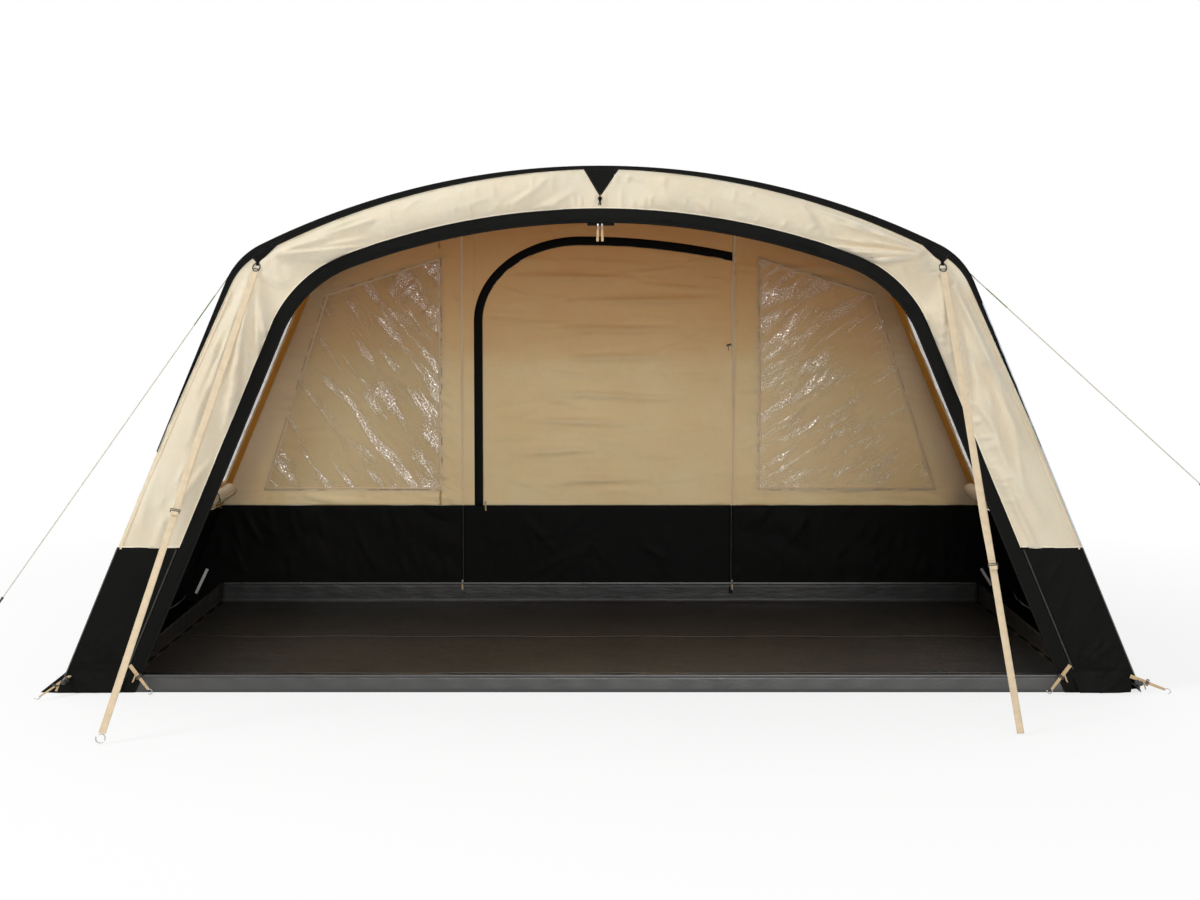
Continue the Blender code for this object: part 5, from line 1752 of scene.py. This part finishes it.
class TENT_OT_rear_mudwalls(bpy.types.Operator):
    """Black mudwalls below the rear wall, and the zipped flap below the door"""

    bl_idname = "tent.rear_mudwalls"
    bl_label = "Rear mudwalls"

    def execute(self, context):
        rng, arch = random(), outer_arch()
        top = shape().rear_mudwall
        for word, side, seam in rear_sides:
            feet = [(arch.leg(z, inner_line), z) for z in (0.001, top)]
            flat, faces = cut([(seam + door_gap, 0.001), *feet, (seam + door_gap, top)], [], middle_step)
            lines = hatch(rng, 60, (seam, 2.1, 0.02, 0.5), 80, 28, 0.3, 0.012, 0.006)
            relief = np.abs(ridges(flat, lines) + swell(rng, flat, 0.3, 0.003))
            relief *= step_up(flat[:, 0], seam, seam + 0.03) * step_up(flat[:, 1], *above_rim)
            node = "rear_mudwall_" + word
            rear_sheet("rear_skirt_" + word, node, flat * (side, 1), faces, relief, canvas_face)
        outline = rectangle(left_seam + 2 * door_gap, right_seam - 2 * door_gap, 0.0015, top)
        flat, faces = cut(outline, [], middle_step)
        lines = hatch(rng, 50, (left_seam, right_seam, 0.02, 0.5), 85, 28, 0.3, 0.012, 0.006)
        share = (flat[:, 0] - left_seam) / (right_seam - left_seam)
        relief = np.abs(ridges(flat, lines)) * arc_share(share, 6) * step_up(flat[:, 1], *above_rim)
        rear_sheet("flap_cloth", "mudwall_flap", flat, faces, relief, canvas_face, body="mudwall_flap")
        teeth, tapes, lining = [], Strips(), Strips()
        for x, word, centre in ((left_seam, "left", -0.7358), (right_seam, "right", 0.7058)):
            line = rows_of(x, rear_plane() - 0.0062, np.linspace(0.05, top - 0.004, 60))
            teeth.append(line)
            tapes.ribbon(line + np.array((0, 0.0022, 0)), sideways, outwards, 0.022, 0.0012)
            slider("mudwall_slider_" + word, centre, 0.115)
        for ends in cable_slots:
            low_end, high_end = np.array(ends[:2]), np.array(ends[2:])
            wall_tape(lining, stretch(low_end, high_end - low_end, 12), 0.0062, 0.015, 0.001)
        lining.object("cable_slots", "pale_lining")
        tapes.object("mudwall_zip_tapes", "black_webbing")
        zip_teeth("mudwall_zip_teeth", teeth, 0.005, 0.0009)
        return {"FINISHED"}


lip_seam = -0.81  # where the glossy front part of the groundsheet starts


class TENT_OT_groundsheet(bpy.types.Operator):
    """The bathtub groundsheet with its cross seams, creases and glossy front lip"""

    bl_idname = "tent.groundsheet"
    bl_label = "Groundsheet"

    def execute(self, context):
        s, rng = shape(), random()
        half = s.floor_half_width
        front, rear = front_plane() + inner_line, rear_plane() - inner_line
        steps, pace = np.linspace(0, 1, 6), 0.028
        xs = np.concatenate([-half - steps[:0:-1], np.arange(-half, half, pace), half + steps])
        ys = np.concatenate([front - steps[:0:-1], np.arange(front, rear, pace), rear + steps])
        x, y = np.tile(xs, len(ys)), np.repeat(ys, len(xs))
        rise_x, rise_y = np.clip(np.abs(x) - half, 0, 1), np.maximum(front - y, y - rear).clip(0, 1)
        rise = np.maximum(rise_x, rise_y)
        px, py = np.clip(x, -half, half), np.clip(y, front, rear)
        rim = s.front_rim + (s.rear_rim - s.front_rim) * (py - front) / (rear - front)
        floor = np.column_stack((px, py))
        lines = hatches(
            rng,
            (130, (-half, half, front, rear), 90, 35, 0.5, 0.010, 0.0035),
            (70, (-half, half, front, -0.8), 0, 14, 0.5, 0.008, 0.005),
            (50, (-half, half, rear - 0.25, rear), 90, 30, 0.2, 0.010, 0.006),
        )
        relief = np.abs(ridges(floor, lines)) + np.abs(swell(rng, floor, 0.5, 0.0025))
        edge = step_up(half - np.abs(px), 0, 0.06) * step_up(py - front, 0, 0.05)
        edge *= step_up(rear - py, 0, 0.05)
        points = rows_of(px, py, 0.0032 + rim * rise + relief * edge * (rise == 0))
        wave_x = 0.004 * np.sin(px * 19) * rise_y * (rise_x == 0)
        wave = np.abs(wave_x + 0.004 * np.sin(py * 23) * rise_x * (rise_y == 0))
        points[:, 1] += np.where(y > rear, -wave, np.where(y < front, wave, 0))
        points[:, 0] -= np.sign(px) * wave * (rise_x > 0) * (rise_y == 0)
        faces = np.array(grid_faces(len(ys), len(xs)))
        faces = faces[(rise_x[faces].max(axis=1) == 0) | (rise_y[faces].max(axis=1) == 0)]
        flat = np.column_stack((px + np.sign(px) * rise_x * rim, py + np.sign(py) * rise_y * rim))
        used, faces = np.unique(faces, return_inverse=True)
        sheet = sheet_of(
            "floor_sheet",
            "groundsheet",
            points[used],
            faces.reshape(-1, 4).tolist(),
            flat[used],
            upwards,
            ("floor_cloth", "floor_lip"),
            0.0026,
            (2 * half + 2 * s.rear_rim, rear - front + s.rear_rim + s.front_rim),
        )
        for face in sheet.data.polygons:
            if face.center.y < lip_seam:
                face.material_index = 1
        weld(sheet.data, 0.0002)
        strips = Strips()
        across = np.linspace(-half + 0.02, half - 0.02, 160)
        for y, width in ((0.11, 0.016), (lip_seam, 0.014)):
            line = rows_of(across, y, 0.0072 + 0.0012 * np.sin(across * 9))
            strips.ribbon(line, inwards, upwards, width, 0.0022)
        for y, height in ((front - gap, s.front_rim), (rear - 0.0015, s.rear_rim)):
            strips.ribbon(rows_of(across, y, height + 0.0024), upwards, outwards, 0.014, 0.0022)
        strips.object("floor_seams", "floor_lip")
        return {"FINISHED"}


# Peg straps: the place of each upper end, and its reach to the ground
peg_width, peg_thickness = 0.022, 0.0025
peg_straps = {
    "corner_strap_left": (-2.18829, 0.07, -0.09, 0.20),
    "corner_strap_right": (2.18829, 0.07, 0.16, 0.03),
    "sheet_strap_left": (-1.94, 0.115, 0.10, 0.06),
    "sheet_strap_right": (1.94, 0.115, -0.10, 0.06),
}
toggle_radii = np.array((3, 8, 11, 10, 8, 10, 12, 9, 4)) * 0.001


class TENT_OT_peg_straps(bpy.types.Operator):
    """Short webbing straps with small ladder buckles and hooks, at the outer and inner corners"""

    bl_idname = "tent.peg_straps"
    bl_label = "Peg straps"

    def execute(self, context):
        for name, (x, height, reach_x, reach_y) in peg_straps.items():
            run = np.array((reach_x, -reach_y, peg_width / 2 - height))
            back, level, _ = uphill(-run, np.zeros(3))
            third = np.cross(back, level)
            lift = (peg_width * abs(level[1]) + peg_thickness * abs(third[1])) / 2 + gap
            start = np.array((x, front_plane() - lift, height))
            if third[1] > 0:
                third = -third
            shares = np.linspace(0, 1, 24)[:, None]
            line = start + run * shares * 0.86
            twist = 0.12 * np.sin(shares * 3)
            across = level * np.cos(twist) + third * np.sin(twist)
            strips, metal, black = Strips(), Strips(), Strips()
            strips.ribbon(line, across, third, peg_width * (0.75 - 0.25 * shares[:, 0]), peg_thickness / 2)
            strips.ribbon(line[:11] + third * 0.0016, across[:11], third, peg_width * 0.72, peg_thickness / 2)
            tail = stretch(start + run * 0.3 + third * 0.004, (0.012 * np.sign(x), -0.01, -0.035), 10)
            strips.ribbon(tail, level, third, 0.011, 0.001)
            black.ladder(start + run * 0.42 + third * 0.003, level, back, 0.013, 0.005, 7, 0.0017)
            if name.startswith("corner"):
                lump = np.linspace(start + run * 0.12, start + run * 0.34, 9) - level * 0.016 * np.sign(x)
                black.tube(lump + third * 0.006, toggle_radii, 12)
            turn = np.linspace(0, 1.35 * math.pi, 22)[:, None]
            hook = line[-1] + back * (0.012 * np.cos(turn) - 0.012) + level * (0.010 * np.sin(turn) - 0.002)
            hook[:, 2] = np.maximum(hook[:, 2], 0.003)
            metal.tube(hook, 0.0018)
            strips.object(name + "_webbing", "beige_webbing", name)
            black.object(name + "_buckle", "plastic")
            metal.object(name + "_hook", "metal")
        return {"FINISHED"}


operators = (
    TENT_OT_stage,
    TENT_OT_materials,
    TENT_OT_storm_straps,
    TENT_OT_guy_ropes,
    TENT_OT_roof,
    TENT_OT_side_walls,
    TENT_OT_beams,
    TENT_OT_front_face,
    TENT_OT_edge_strip,
    TENT_OT_patches,
    TENT_OT_opening_band,
    TENT_OT_front_mudwalls,
    TENT_OT_rear_panels,
    TENT_OT_rear_door,
    TENT_OT_rear_mudwalls,
    TENT_OT_groundsheet,
    TENT_OT_peg_straps,
)


class TENT_PT_panel(bpy.types.Panel):
    """Lists the steps that dress the tent"""

    bl_idname = "TENT_PT_panel"
    bl_label = "Tent"
    bl_space_type = "VIEW_3D"
    bl_region_type = "UI"
    bl_category = "Tent"

    def draw(self, context):
        for key in property_groups:
            group = getattr(context.scene, key)
            box = self.layout.box()
            for setting in group.__annotations__:
                box.prop(group, setting)
        for kind in operators:
            self.layout.operator(kind.bl_idname)


property_groups = {"tent_shape": TentShape, "tent_cloth": TentCloth, "tent_colours": TentColours}
classes = (*property_groups.values(), *operators, TENT_PT_panel)


def register():
    for kind in classes:
        bpy.utils.register_class(kind)
    for key, kind in property_groups.items():
        setattr(bpy.types.Scene, key, PointerProperty(type=kind))


def unregister():
    for key in property_groups:
        delattr(bpy.types.Scene, key)
    for kind in reversed(classes):
        bpy.utils.unregister_class(kind)


def main():
    register()
    for kind in operators:
        family, step = kind.bl_idname.split(".")
        getattr(getattr(bpy.ops, family), step)()


if __name__ == "__main__":
    main()
